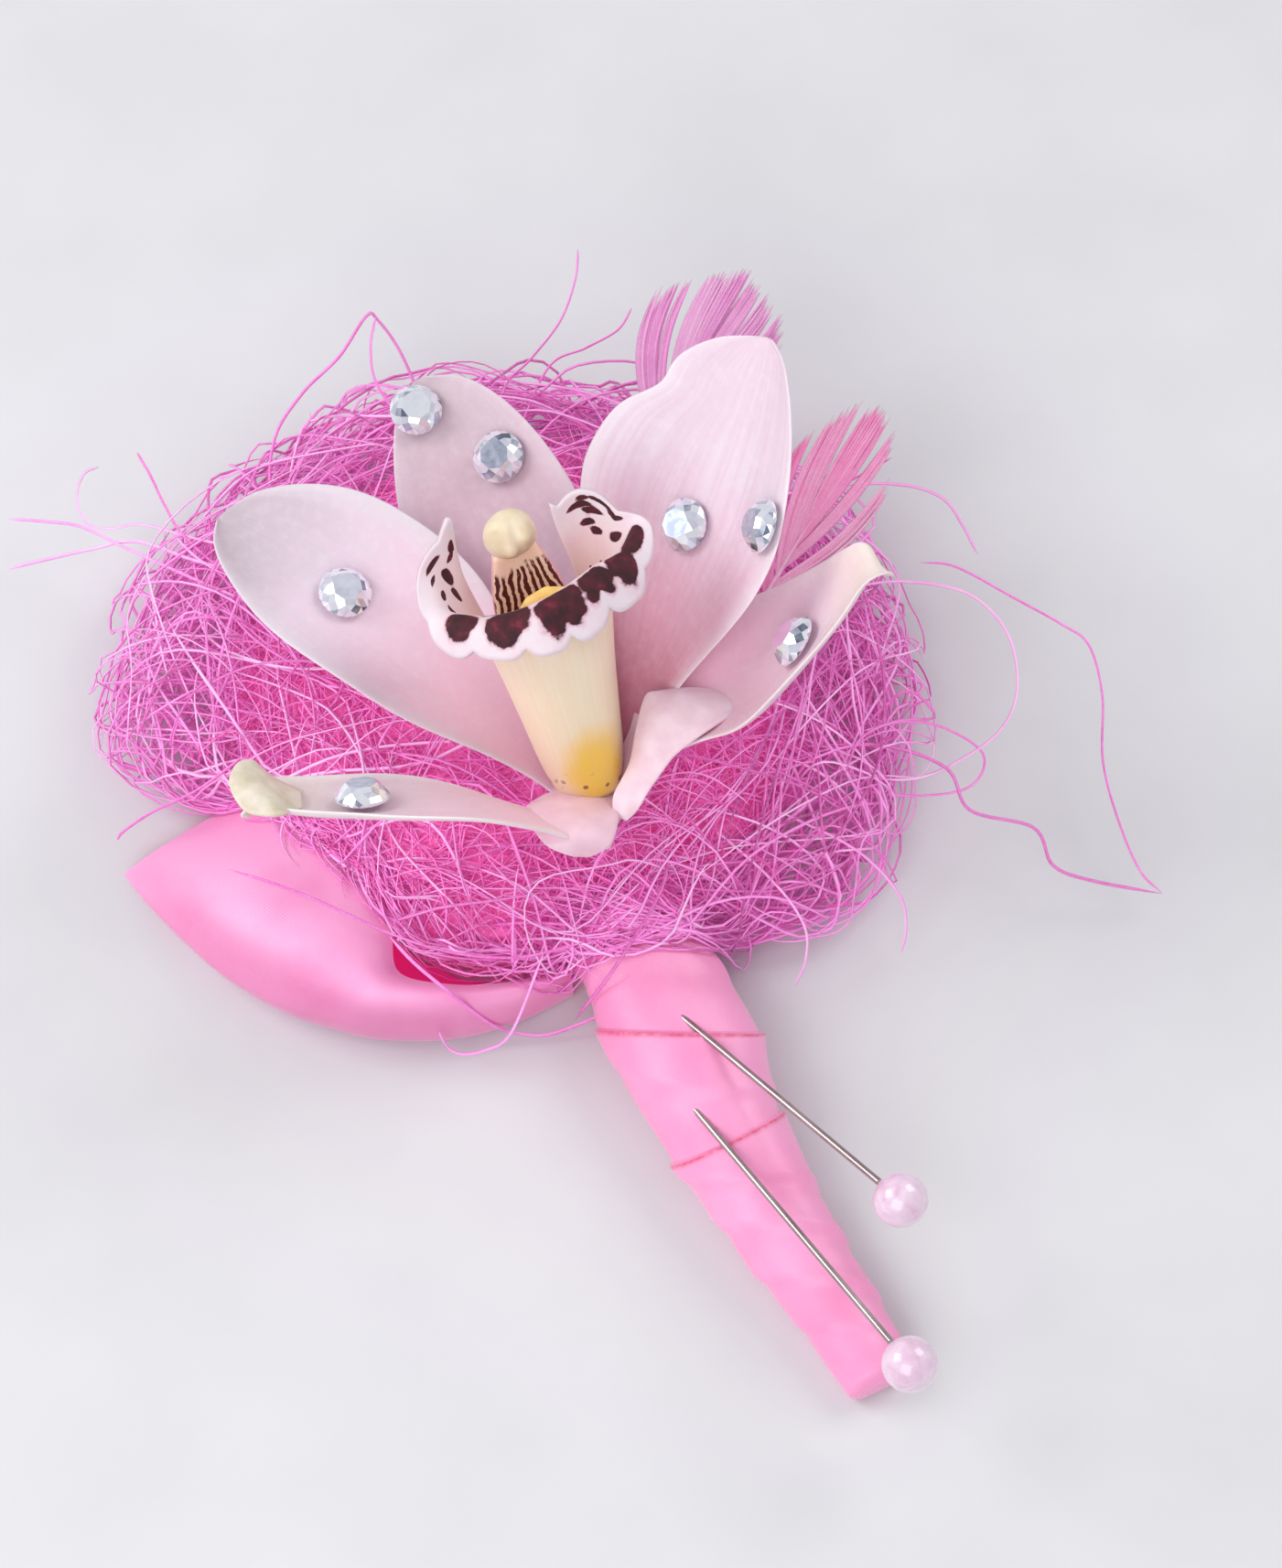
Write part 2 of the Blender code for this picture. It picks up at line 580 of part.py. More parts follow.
def stem_rings(grow=0.0):
    """The taped bundle: a bend up to the bloom's stalk, then the length inside the wrap."""
    radii = np.array(STEM_RADII) + grow
    path = np.array(STEM_PATH)
    path[0] += (0, 0, grow)
    rings = tube_rings(path, radii, radii, (1, 0, 0), WRAP_SIDES)
    inset = WRAP_THICKNESS + 1.3 * CLEARANCE - grow
    for y in (*(station[0] for station in WRAP_STATIONS[1:-2]), STEM_END):
        rings.append(wrap_ring(y, inset))
    return rings


def pin_ends(entry, pearl):
    """The pin's direction, and where its shaft starts and ends."""
    direction = unit(np.array(entry) - pearl)
    start = np.array(pearl) + direction * (PEARL_RADIUS + CLEARANCE)
    return direction, start, np.array(pearl) + direction * (PIN_LENGTH - PEARL_RADIUS)


def rod(start, end, radius, sides):
    return sweep([start, end], [radius] * 2, [radius] * 2, (0, 0, 1), sides)


def loop_section(u):
    """The loop's section at u, as points running from its top layer's inner edge to its floor's."""
    stations = [(*outer, *inner, height, floor) for outer, inner, height, floor in LOOP_STATIONS]
    x0, y0, x1, y1, height, floor = ease(stations, u)
    outer, inward = np.array((x0, y0)), np.array((x1 - x0, y1 - y0))
    width = np.linalg.norm(inward)
    controls = []
    for k, (share, level) in enumerate(LOOP_SECTION):
        reach = share * (width if k < 5 else floor)
        z = LOOP_FLOOR + LOOP_THICKNESS / 2 + level * (height - LOOP_FLOOR - LOOP_THICKNESS)
        controls.append((*(outer + inward / width * reach), z))
    return controls


def loop_body():
    points = np.array([[ease(loop_section(i / LOOP_ROWS), j / LOOP_COLUMNS) for j in range(LOOP_COLUMNS + 1)]
                       for i in range(LOOP_ROWS + 1)])
    return thick_sheet(points, np.full(points.shape[:2], LOOP_THICKNESS))


def loop_room():
    """The room that the loop and its hollow take up under the nest."""
    rings = []
    for outer, inner, height, floor in LOOP_STATIONS:
        outer, inward = np.array(outer), unit(np.array(inner) - outer)
        reach = max(floor, np.linalg.norm(np.array(inner) - outer)) + 2 * NEST_ROOM
        near, far = outer - inward * 2 * NEST_ROOM, outer + inward * reach
        top = height + 2 * NEST_ROOM
        rings.append(np.array([(*near, -1.0), (*near, top), (*far, top), (*far, -1.0)]))
    return loft(rings)


def feather_bodies(root, tip, spread, groups, fork):
    """A quill, and groups of barbs that leave it and fan out towards the tip."""
    root, tip = np.array(root), np.array(tip)
    along = unit(tip - root)
    length = np.linalg.norm(tip - root)
    side = unit(np.cross(along, (0, 0, 1)))
    radii = [QUILL_RADIUS, QUILL_RADIUS, QUILL_RADIUS * 0.7]
    bodies = [sweep([root + along * length * t for t in (0, 0.5, 0.9)], radii, radii, side, 6)]
    for k in range(groups):
        lean = 2 * k / (groups - 1) - 1
        start = root + along * length * (fork + 0.22 * (1 - abs(lean)))
        end = root + along * length * (1 - 0.2 * lean ** 2) + side * spread * lean
        path = [start + (end - start) * t + side * spread * 0.25 * lean * math.sin(math.pi * t)
                for t in (0, 0.25, 0.5, 0.75, 1)]
        widths = np.array((0.5, 0.9, 1.0, 0.85, 0.3)) * BARB_HALF_WIDTH
        bodies.append(sweep(path, widths, [BARB_HALF_THICKNESS] * 5, side, 4))
    return bodies


def pad_top(radius):
    """Height of the felted pad's upper face at a distance from its middle."""
    share = min(radius / PAD_RADIUS, 1.0)
    return PAD_WAIST + (PAD_HEIGHT - PAD_WAIST) * (1 - share ** PAD_FLATNESS) ** 0.5


def pad_body():
    """The felted middle of the nest, flat underneath."""
    centre = np.array((*NEST_CENTRE, 0.0))
    angles = 2 * math.pi * np.arange(PAD_SIDES) / PAD_SIDES
    profile = [(PAD_FLOOR, 0.0), (PAD_RADIUS - 1.5, 1.8), (PAD_RADIUS, PAD_WAIST)]
    profile += [(PAD_RADIUS * share, pad_top(PAD_RADIUS * share)) for share in (0.96, 0.85, 0.65, 0.35)]
    rings = []
    for k, (radius, z) in enumerate(profile):
        lumps = 0.5 * np.sin(5 * angles + 1.7 * k) if k else 0.0 * angles
        rings.append(centre + np.stack([(radius + lumps) * np.cos(angles), (radius + lumps) * np.sin(angles),
                                        z + 0.5 * lumps], axis=1))
    return loft(rings)


def strand_body(path):
    radii = [STRAND_RADIUS] * len(path)
    return sweep(path, radii, radii, (0.3, 0.2, 1.0), 3)


def strand_bodies():
    """Loose fibres that leave the pad, bow out round its rim or over its top, and come back."""
    rng = random.Random(STRAND_SEED)
    centre = np.array(NEST_CENTRE)
    bodies = []
    for number in range(STRANDS):
        middle = 360 * (number * 0.618034 % 1.0)
        on_top = number % 2 == 1
        span = rng.uniform(80, 150) if on_top else rng.uniform(60, 110)
        root = rng.uniform(20, 27)
        reach = rng.uniform(4, 32) if on_top else rng.uniform(39, NEST_RIM)
        level = rng.uniform(3, 14)
        top_rise = rng.uniform(0.3, 2.5)
        path = []
        for k in range(STRAND_POINTS):
            t = k / (STRAND_POINTS - 1)
            bow = math.sin(math.pi * t) ** 0.75
            angle = math.radians(middle + span * (t - 0.5))
            radius = root + (reach - root) * bow + 1.2 * math.sin(7 * t + number)
            over = smoothstep((math.cos(angle - math.radians(OVERLAP_ANGLE)) - 0.3) / 0.4)
            rest = level + (max(level, OVERLAP_LEVEL) - level) * over
            rest = pad_top(radius) + top_rise if on_top else rest
            z = (pad_top(root) - 1.0) * (1 - bow) + rest * bow + 0.4 * math.sin(9 * t + 2 * number)
            x, y = centre + radius * np.array((math.cos(angle), math.sin(angle)))
            path.append((x, y, max(z, 2 * STRAND_RADIUS)))
        bodies.append(strand_body(path))
    for start, bend, end in STRAYS:
        root = (*start, pad_top(math.dist(start, NEST_CENTRE)) - 1.5)
        bodies.append(strand_body([ease([root, bend, end], k / 9) for k in range(10)]))
    return bodies


def build_nest():
    """The pad and its fibres as one body, cut clear of all that stands in it."""
    nest = add_body("sisal_nest", pad_body(), "sisal")
    combine(nest, strand_bodies(), "UNION")
    rooms = [tepal_body(name, grow=NEST_ROOM) for name in TEPALS]
    rooms += [pedicel_body(NEST_ROOM), loft(stem_rings(NEST_ROOM)), loft(wrap_rings(-NEST_ROOM)), loop_room()]
    for feather in FEATHERS.values():
        root, tip = np.array(feather["root"]), np.array(feather["tip"])
        rooms.append(rod(root - unit(tip - root) * NEST_ROOM, root + (tip - root) * 0.6,
                         QUILL_RADIUS + NEST_ROOM, 8))
    combine(nest, rooms, "DIFFERENCE")
    keep_largest(nest)


def build():
    for leftover in list(bpy.data.objects):
        bpy.data.objects.remove(leftover)
    for name in TEPALS:
        add_body(name, tepal_body(name), "petal")
    add_body("lip", lip_body(), "lip")
    add_body("column", column_body(), "column")
    add_body("anther_cap", anther_body(), "anther")
    add_body("pedicel", pedicel_body(), "stalk")
    for number, (tepal, u, w) in enumerate(STONES, 1):
        add_body(f"rhinestone_{number}", stone_body(tepal, u, w), "stone")
    stem = add_body("taped_stem", loft(stem_rings()), "tape")
    wrap = add_body("ribbon_wrap", wrap_body(), "satin")
    for number, (entry, pearl) in enumerate(PINS, 1):
        direction, start, end = pin_ends(entry, pearl)
        add_body(f"pin_shaft_{number}", rod(start, end, PIN_RADIUS, 8), "steel")
        add_body(f"pearl_head_{number}",
                 ball(np.array(pearl), (PEARL_RADIUS,) * 3, np.eye(3), 8, 12), "pearl")
        hole = add_cutter(f"pin_hole_{number}", rod(start, end + direction * CLEARANCE, PIN_HOLE_RADIUS, 8))
        cut(stem, hole)
        cut(wrap, hole)
    add_body("ribbon_loop", loop_body(), "satin")
    for name, finish in (("feather_top", "pale_feather"), ("feather_side", "hot_feather")):
        quill, *barbs = feather_bodies(**FEATHERS[name])
        feather = add_body(name, quill, finish)
        combine(feather, barbs, "UNION")
        keep_largest(feather)
    build_nest()


build()
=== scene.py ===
"""Looks for an orchid corsage lying on its back: one bloom on a nest of dyed sisal, with a satin
ribbon loop, a ribbon-wrapped stem, two feathers, seven rhinestones and two pearl-headed pins.

Lengths are millimetres and angles are degrees. Meshes are placed in metres, in the CAD's frame.
"""

import math

import bpy
import numpy as np
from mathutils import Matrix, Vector


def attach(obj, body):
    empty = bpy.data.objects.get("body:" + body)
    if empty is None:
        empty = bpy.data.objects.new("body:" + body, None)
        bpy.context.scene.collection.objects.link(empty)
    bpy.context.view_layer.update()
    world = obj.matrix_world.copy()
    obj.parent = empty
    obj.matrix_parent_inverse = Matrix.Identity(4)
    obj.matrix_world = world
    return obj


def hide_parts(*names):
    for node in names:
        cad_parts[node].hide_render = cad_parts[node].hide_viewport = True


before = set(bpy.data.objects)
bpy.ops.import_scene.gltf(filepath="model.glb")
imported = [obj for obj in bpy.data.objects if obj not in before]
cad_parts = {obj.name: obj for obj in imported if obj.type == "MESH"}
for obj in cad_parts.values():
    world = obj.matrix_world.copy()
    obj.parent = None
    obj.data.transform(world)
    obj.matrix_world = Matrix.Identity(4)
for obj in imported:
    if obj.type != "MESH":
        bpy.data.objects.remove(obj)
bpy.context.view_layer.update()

MM = 0.001

# The camera: where it looks from, its lens, and the point of the corsage in the middle of its view
VIEW_AZIMUTH = -26
VIEW_ELEVATION = 60
LENS = 85
SENSOR = 36
EYE_DISTANCE = 418.5
EYE_ACROSS = 5.2
EYE_RAISE = 1.34

# The bloom's heart, the way that it faces, and the way that its dorsal sepal points
HEART = np.array((0.0, 0.0, 20.0))
BLOOM_FACING = (-0.15, 0.26, 0.954)
DORSAL_DIRECTION = (0.16, 0.96, -0.23)

TEPAL_ROWS = 48
TEPAL_COLUMNS = 20
TEPAL_THICKNESS = 0.72
# How far from the heart each tepal starts
TEPAL_START = 4.2
# The tepals. turn is the way that each points, round the bloom from the dorsal sepal, and rise how
# far its foot stands forward. Lists run from foot to tip: lean is the angle off the bloom's axis,
# sway and roll turn the tepal sideways and round its midrib, and cup and share are its hollow and
# its share of the half-width, on the left and on the right. claw is the foot's width, peak the
# place of the greatest width, blunt the form of the tip, ruffle and waves the margins' wavy edge,
# hook how far the tip turns over, forward an extra rise of the foot, and nick a notch in a margin
# by side, place, breadth and depth.
TEPALS = {
    "dorsal_sepal": dict(
        turn=-2, length=50, width=23, rise=-0.6, lean=[40, 50, 58, 63], sway=[0, 0, 2],
        cup=([30, 35, 25], [30, 35, 20]), claw=0.24, peak=0.5, blunt=1.9,
        share=([1, 0.85, 0.7], [1, 1.1, 1.1]), ruffle=0.35, waves=2.2),
    "petal_left": dict(
        turn=-41, length=49, width=25, rise=1.3, lean=[34, 46, 57, 58], sway=[0, 0, -3],
        cup=([20, 30, 25], [20, 30, 25]), claw=0.2, peak=0.6, blunt=1.9,
        share=([1, 0.85, 0.85], [1, 1.0, 1.0]), ruffle=0.45, waves=2.6),
    "petal_right": dict(
        turn=64, length=51.5, width=28, rise=1.2, lean=[36, 48, 52, 50], sway=[0, -4, -10],
        cup=([20, 30, 25], [20, 30, 60]), claw=0.18, peak=0.6, blunt=1.4,
        share=([1, 1.08, 1.15, 1.22, 1.3], [0.62, 0.72, 1.02, 1.05, 1.1]), ruffle=0.4, waves=2.0,
        nick=(-1, 0.83, 0.05, 0.16), forward=-1.2),
    "lateral_sepal_left": dict(
        turn=-86.5, length=44.3, width=19, rise=-1.4, lean=[26, 43, 72, 42],
        sway=[-48, -2, -3, 7], roll=[5, -25, -16, -29], cup=([-20, 0, 30, 40, 40], [20, 20, 20]),
        claw=0.3, peak=0.4, blunt=1.7, share=([1.6, 0.95, 1.6, 0.87, 0.62], [0.3, 0.35, 1.4]),
        ruffle=0.2, waves=2.0, hook=150),
    "lateral_sepal_right": dict(
        turn=103, length=45, width=21, rise=-1.4, lean=[56, 54, 50, 40],
        sway=[0, -4, -10], roll=[0, 4, 6, 10, 10], cup=([10, 60, 35, 25, 20], [30, 40, 40, 40, 30]),
        claw=0.3, peak=0.45, blunt=1.7, share=([1.0, 2.0, 1.2, 0.9, 0.9], [0.8, 0.45, 0.85, 0.9, 0.9]),
        ruffle=0.25, waves=2.0, hook=170, forward=4.5),
}
# Folds of the two lateral sepals: pairs of places on their edges, swelling and two tones
FOLDS = {
    "lateral_sepal_left_foot": (
        [((-5.4, 1.7, 21.5), (1.3, -0.6, 21.5)), ((-8.9, -0.6, 24.5), (1.0, -4.1, 24.0)),
         ((-9.7, -4.8, 27.3), (-0.9, -7.9, 26.5)), ((-9.4, -7.4, 27.8), (-2.7, -9.9, 27.0)),
         ((-8.1, -8.7, 27.4), (-4.4, -10.2, 26.8)), ((-6.7, -9.3, 26.6), (-5.7, -9.7, 26.4))],
        1.4, (0.90, 0.75, 0.81), (0.94, 0.81, 0.86)),
    # The curl's tones: the flesh's own cream, browned a little as painted shade of the crease where the tip
    # turns over
    "lateral_sepal_left_curl": (
        [((-31.7, 7.2, 33.8), (-33.0, 3.7, 36.6)), ((-33.6, 8.2, 35.6), (-35.8, 2.3, 39.5)),
         ((-34.9, 9.6, 37.0), (-37.7, 3.0, 39.8)), ((-35.6, 11.0, 37.6), (-39.1, 4.3, 39.8)),
         ((-37.0, 10.9, 38.4), (-39.4, 6.4, 39.5)), ((-38.5, 9.7, 39.0), (-39.2, 8.4, 39.2))],
        0.9, (0.80, 0.76, 0.66), (0.92, 0.89, 0.83)),
    "lateral_sepal_right_fold": (
        [((15.8, 0.6, 30.4), (17.0, -4.1, 33.4)), ((12.5, 1.8, 31.6), (12.1, -5.2, 34.0)),
         ((9.1, 2.6, 32.2), (9.0, -5.2, 32.4)), ((7.8, 2.9, 31.8), (7.4, -5.1, 31.0)),
         ((5.5, 0.3, 30.6), (5.6, -5.5, 29.2)), ((3.4, -2.3, 28.2), (3.6, -6.1, 27.2)),
         ((0.5, -4.0, 26.2), (2.1, -6.7, 25.6)), ((-0.4, -5.8, 25.2), (0.5, -7.1, 25.0))],
        1.1, (0.90, 0.77, 0.82), (0.95, 0.85, 0.89)),
}
FOLD_THICKNESS = 0.6
FOLD_ROWS = 28
FOLD_COLUMNS = 18
# Each tepal's colours from its base to its tip, and along its margin
TEPAL_TONES = {
    "dorsal_sepal": [(0.78, 0.60, 0.68), (0.81, 0.68, 0.75), (0.80, 0.69, 0.74), (0.77, 0.71, 0.74),
                     (0.84, 0.77, 0.81)],
    "petal_left": [(0.97, 0.78, 0.88), (0.92, 0.77, 0.84), (0.86, 0.80, 0.85), (0.74, 0.70, 0.73),
                   (0.86, 0.84, 0.86)],
    "petal_right": [(0.73, 0.32, 0.43), (0.88, 0.67, 0.76), (0.87, 0.81, 0.86), (0.87, 0.79, 0.84),
                    (0.92, 0.87, 0.90)],
    "lateral_sepal_left": [(0.96, 0.78, 0.86), (0.93, 0.80, 0.85), (0.85, 0.78, 0.81), (0.88, 0.84, 0.78),
                           (0.93, 0.91, 0.90)],
    "lateral_sepal_right": [(0.97, 0.80, 0.87), (0.94, 0.77, 0.84), (0.90, 0.80, 0.85), (0.93, 0.87, 0.82),
                            (0.92, 0.85, 0.86)],
}

# The lip is a trough round its own axis. Each profile runs up the trough at one angle from its
# front as (radius, height): a shared wall, then an upper part that flares into the frilled edge.
LIP_LEAN = 18
LIP_SIDE_LEAN = 6.5
LIP_BASE_RISE = 2.7
LIP_BASE_SHIFT = 0.6
LIP_THICKNESS = 0.55
LIP_ROWS = 56
LIP_COLUMNS = 176
LIP_SPAN = 122
LIP_WALL = [(3.3, 0), (4.4, 4), (5.4, 11), (6.3, 17)]
LIP_EDGES = {
    -122: [(7.2, 20), (8.2, 23.5), (9.0, 27), (9.0, 30.0)],
    -110: [(7.2, 21), (8.4, 26.0), (8.6, 31), (8.0, 35.4)],
    -96: [(7.4, 22), (9.0, 26.2), (10.6, 29.6), (11.8, 31.4)],
    -80: [(7.4, 22.6), (9.2, 25.8), (11.4, 27.4), (13.5, 26.9)],
    -60: [(7.3, 23.0), (8.8, 26.2), (11.1, 26.8), (13.2, 23.8)],
    -40: [(7.2, 23.4), (8.5, 26.6), (10.9, 27.0), (13.1, 24.0)],
    0: [(7.1, 24.0), (8.0, 27.6), (10.2, 27.8), (12.6, 23.4)],
    40: [(7.1, 24.2), (8.0, 28.4), (9.8, 28.8), (12.1, 24.4)],
    60: [(7.3, 24.0), (8.6, 28.0), (10.7, 28.6), (12.8, 25.0)],
    80: [(7.6, 23.5), (9.4, 27.4), (11.6, 29.6), (13.6, 29.8)],
    92: [(7.4, 23.0), (8.8, 26.8), (10.2, 29.9), (11.2, 31.9)],
    105: [(6.8, 22.5), (7.4, 27.0), (7.9, 31.0), (8.3, 34.0)],
    122: [(5.4, 20.0), (5.2, 25.5), (4.4, 30.5), (4.2, 34.6)],
}
LIP_SCALLOPS = 6.5
LIP_SCALLOP_DEPTH = 0.045
# Dark blotches inside the lip, between an oval and an oblong in form: angle, place up the
# profile, and half-size in both
BLOTCH_POWER = 2.4
LIP_BLOTCHES = [
    (-56, 0.86, 10.5, 0.085), (-25, 0.855, 14.5, 0.095), (6, 0.865, 15, 0.09), (34, 0.87, 11.5, 0.078),
    (56, 0.87, 9.5, 0.078), (74, 0.86, 8.5, 0.07), (91.5, 0.804, 4.5, 0.03),
    (111, 0.929, 6, 0.019), (108, 0.966, 3, 0.011), (102.6, 0.966, 3.2, 0.011), (98.4, 0.964, 4.2, 0.015),
    (104, 0.893, 4.8, 0.017), (94.3, 0.94, 3.6, 0.024), (106.8, 0.839, 3.8, 0.016), (102.6, 0.8, 3.2, 0.02),
    (-109.5, 0.893, 2.6, 0.024), (-106.8, 0.857, 2.8, 0.014), (-98.4, 0.929, 4.4, 0.019),
    (-101.2, 0.804, 3.2, 0.042), (-92.9, 0.875, 3.2, 0.013), (-98.4, 0.732, 2.8, 0.036),
    (-88.7, 0.804, 3.2, 0.015), (-76.2, 0.786, 6, 0.014), (-42, 0.765, 6, 0.012), (109.5, 0.66, 1.8, 0.014),
    (100, 0.66, 1.8, 0.016)]

# The yellow ridge inside the lip: its foot and length along the lip's axis, and half its size
CALLUS_FOOT = 9
CALLUS_LENGTH = 18.2
CALLUS_FORWARD = 4.0
CALLUS_HALF_WIDTH = 2.5
CALLUS_HALF_DEPTH = 1.7
CALLUS_RINGS = 26
CALLUS_SIDES = 40

# The column and its cap
COLUMN_RISE = 2.75
COLUMN_OFFSET = 1.5
COLUMN_LENGTH = 27.5
COLUMN_LEAN = [33, 31, 26, 18]
COLUMN_SIDE_LEAN = 4
COLUMN_HALF_WIDTH = [1.9, 2.9, 3.7, 4.4, 4.1, 2.6]
COLUMN_HALF_DEPTH = [1.5, 1.8, 2.1, 2.4, 2.4, 1.8]
COLUMN_RINGS = 46
COLUMN_SIDES = 56
ANTHER_RADII = (2.95, 2.6, 2.75)
# Swellings of the cap: direction, size and spread
ANTHER_LUMPS = [
    ((0.5, -0.8, -0.05), 0.2, 0.26), ((-0.15, -0.85, -0.35), 0.22, 0.26), ((0.9, -0.2, -0.5), 0.08, 0.4),
    ((-0.5, -0.3, 0.6), 0.06, 0.4)]
# The gap between pieces that sit on each other
CLEARANCE = 0.35

# The bloom's stalk: its foot, its radii from there up, and the space that the strands leave it
PEDICEL_FOOT = (0.0, 3.2, 9.8)
PEDICEL_RADII = [2.6, 2.6, 2.8, 3.4, 3.3, 2.5]
PEDICEL_SIDES = 36
PEDICEL_RIBS = 6
STALK_MIDDLE = (0.0, 1.5)
STALK_SPACE = 4.4

# Rhinestones: the tepal that each sits on, and its place along and across that tepal
STONE_RADIUS = 3.0
STONES = [
    ("dorsal_sepal", 0.92, -0.35), ("dorsal_sepal", 0.74, 0.5), ("petal_left", 0.66, 0.05),
    ("petal_right", 0.56, -0.1), ("petal_right", 0.64, 0.75), ("lateral_sepal_right", 0.66, 0.1),
    ("lateral_sepal_left", 0.68, -0.15)]
# A stone from its foil back to its table: radius, height, and corners in each ring
STONE_RINGS = [
    (2.9, 0.0, 24), (3.0, 0.12, 24), (3.0, 0.45, 24), (2.62, 0.95, 12), (2.2, 1.45, 12), (1.72, 1.9, 8)]
# The finer lattice of a tepal that a stone's place is looked up in, and its lift off the flesh
STONE_LATTICE = (50, 20)
STONE_LIFT = 0.45
STONE_SEED = 40
# The painted glints that facets can have: the brightness of each facet's painted reflection, and how often
# each comes
STONE_PAINTED_GLINTS = {0.05: 0.08, 0.3: 0.14, 0.6: 0.24, 0.85: 0.28, 1.0: 0.26}

# The wrapped stem: centre x, half-width and half-height of the wrap at each station along y
WRAP_STATIONS = [
    (-8.5, -0.7, 6.7, 5.5), (-13.2, -1.0, 7.4, 5.8), (-19.0, -0.9, 7.7, 5.9), (-24.2, -1.3, 8.0, 6.0),
    (-30.0, -1.9, 7.4, 5.7), (-38.0, -2.1, 6.2, 4.9), (-46.0, -1.6, 5.1, 4.2), (-51.0, -1.4, 4.7, 3.9),
    (-56.0, -0.8, 4.2, 3.5), (-62.0, 0.0, 3.7, 3.1), (-67.0, 0.3, 3.4, 2.7), (-70.0, 0.3, 2.9, 2.4)]
# How far its rows run on along y for each millimetre across and up, at each station
WRAP_SLANTS = [
    (-8.5, 0.0, 0.0), (-13.2, -0.15, -0.15), (-19.0, -0.3, -0.35), (-24.2, -0.53, -0.6),
    (-30.0, -0.25, -0.55), (-38.0, 0.05, -0.5), (-46.0, 0.0, -0.25), (-56.0, 0.0, 0.0)]
WRAP_SEAMS = (-24.2, -38.0)
WRAP_SEAM_WIDTH = 0.34
# Extra rows of the mesh at each seam, as far from it along y
WRAP_SEAM_ROWS = (-0.34, -0.22, -0.1, 0.02, 0.12)
WRAP_OVERLAP = 0.45
WRAP_THICKNESS = 0.5
WRAP_ROWS = 190
WRAP_SIDES = 112
# How much of the wrap's height is pressed flat on its underside
FLAT_DEPTH = 0.3
# The ribbon folded shut over the stem's end: how far out, and the share of its size that is left
WRAP_END = [(0.5, 0.96), (0.9, 0.8), (1.1, 0.5), (1.15, 0.2), (1.15, 0.0)]
# Creases in the wrap: y on its top line, slant round the stem, width and depth
WRAP_CREASES = [
    (-15.5, 0.35, 1.4, 0.22), (-31.5, 0.7, 1.3, 0.2), (-44.0, 0.9, 1.1, 0.2), (-51.0, 1.1, 1.3, 0.26),
    (-58.5, 1.3, 1.0, 0.22), (-64.5, 1.2, 0.8, 0.18)]

# The corsage pins: where each enters the wrap, its pearl's centre, and its overall length
PIN_RADIUS = 0.4
PIN_LENGTH = 46.0
PEARL_RADIUS = 3.0
PINS = [((-0.4, -29.1, 12.0), (8.3, -58.2, 18.0)), ((-4.6, -38.1, 10.3), (0.9, -74.4, 16.0))]

# The ribbon loop's sections: outer edge, inner edge of its top layer, height, floor length
LOOP_THICKNESS = 0.45
LOOP_ROWS = 96
LOOP_COLUMNS = 64
LOOP_FLOOR = 0.15
LOOP_STATIONS = [
    ((-9.3, -12.9), (-9.2, -11.0), 5.0, 2.5), ((-16.9, -13.6), (-16.7, -10.8), 8.0, 6.0),
    ((-24.7, -12.5), (-23.0, -9.2), 10.5, 9.0), ((-32.2, -9.0), (-27.6, -5.6), 11.5, 12.0),
    ((-36.5, -5.5), (-26.0, 0.0), 12.0, 14.0), ((-40.5, -1.5), (-25.0, 7.0), 12.0, 17.0),
    ((-44.4, 4.9), (-26.0, 14.0), 11.0, 19.0), ((-47.0, 12.0), (-28.0, 20.0), 9.0, 19.0),
    ((-48.8, 19.0), (-31.0, 24.5), 6.0, 17.0), ((-49.6, 24.2), (-34.0, 26.8), 3.0, 14.0)]
# Across the ribbon, from its inner edge over the top and round to the floor: reach and height
LOOP_SECTION = [
    (1.0, 0.86), (0.72, 0.97), (0.45, 1.0), (0.2, 0.86), (0.03, 0.55), (0.0, 0.38), (0.05, 0.16),
    (0.2, 0.0), (0.6, 0.0), (1.0, 0.0)]
# The first points reach across the loop's top, the others along its floor
LOOP_TOP_POINTS = 5

# The feathers: root, tip, half-width of the fan at the tip, where the barbs leave the quill, half
# a barb's width, and the vanes that the fan is split into
FEATHERS = {
    "feather_top": dict(root=(17.0, 36.0, 15.0), tip=(47.5, 54.0, 28.0), spread=9.0, fork=0.35, thick=0.3,
                        vanes=[(-1.0, -0.93), (-0.9, -0.76), (-0.72, -0.64), (-0.52, -0.2), (-0.18, 0.04),
                               (0.05, 0.3), (0.32, 0.58), (0.66, 1.0)]),
    "feather_side": dict(root=(17.0, 8.0, 15.5), tip=(53.0, 31.0, 25.0), spread=6.5, fork=0.35, thick=0.3,
                         vanes=[(-1.0, -0.8), (-0.72, -0.3), (-0.24, 0.34), (0.42, 0.6), (0.8, 1.0)]),
}
# Each feather's material, and its tones from the roots of its barbs to their ends
FEATHER_TONES = {
    "feather_top": ("pale_feather", (0.84, 0.42, 0.70), (0.96, 0.60, 0.84), (1.0, 0.76, 0.92)),
    "feather_side": ("hot_feather", (0.90, 0.36, 0.62), (1.0, 0.56, 0.78), (1.0, 0.76, 0.88)),
}
FEATHER_SEED = 5
FEATHER_STEPS = 18
FLAT_BARB = [(1.0, 0.0), (0.0, 0.3), (-1.0, 0.0), (0.0, -0.3)]

# The sisal nest
NEST_CENTRE = (0.0, 23.0)
# Millimetres along each side of the height maps, whose middle is the frame's origin
MAP_SIZE = 200
PAD_RADIUS = 34.0
PAD_HEIGHT = 15.5
PAD_WAIST = 5.0
PAD_FLATNESS = 5.0
PAD_SIDES = 144
# The pad is drawn in beside the stem, to this distance and within this angle in radians
PAD_BY_STEM = 30.5
PAD_STEM_ANGLE = 0.3
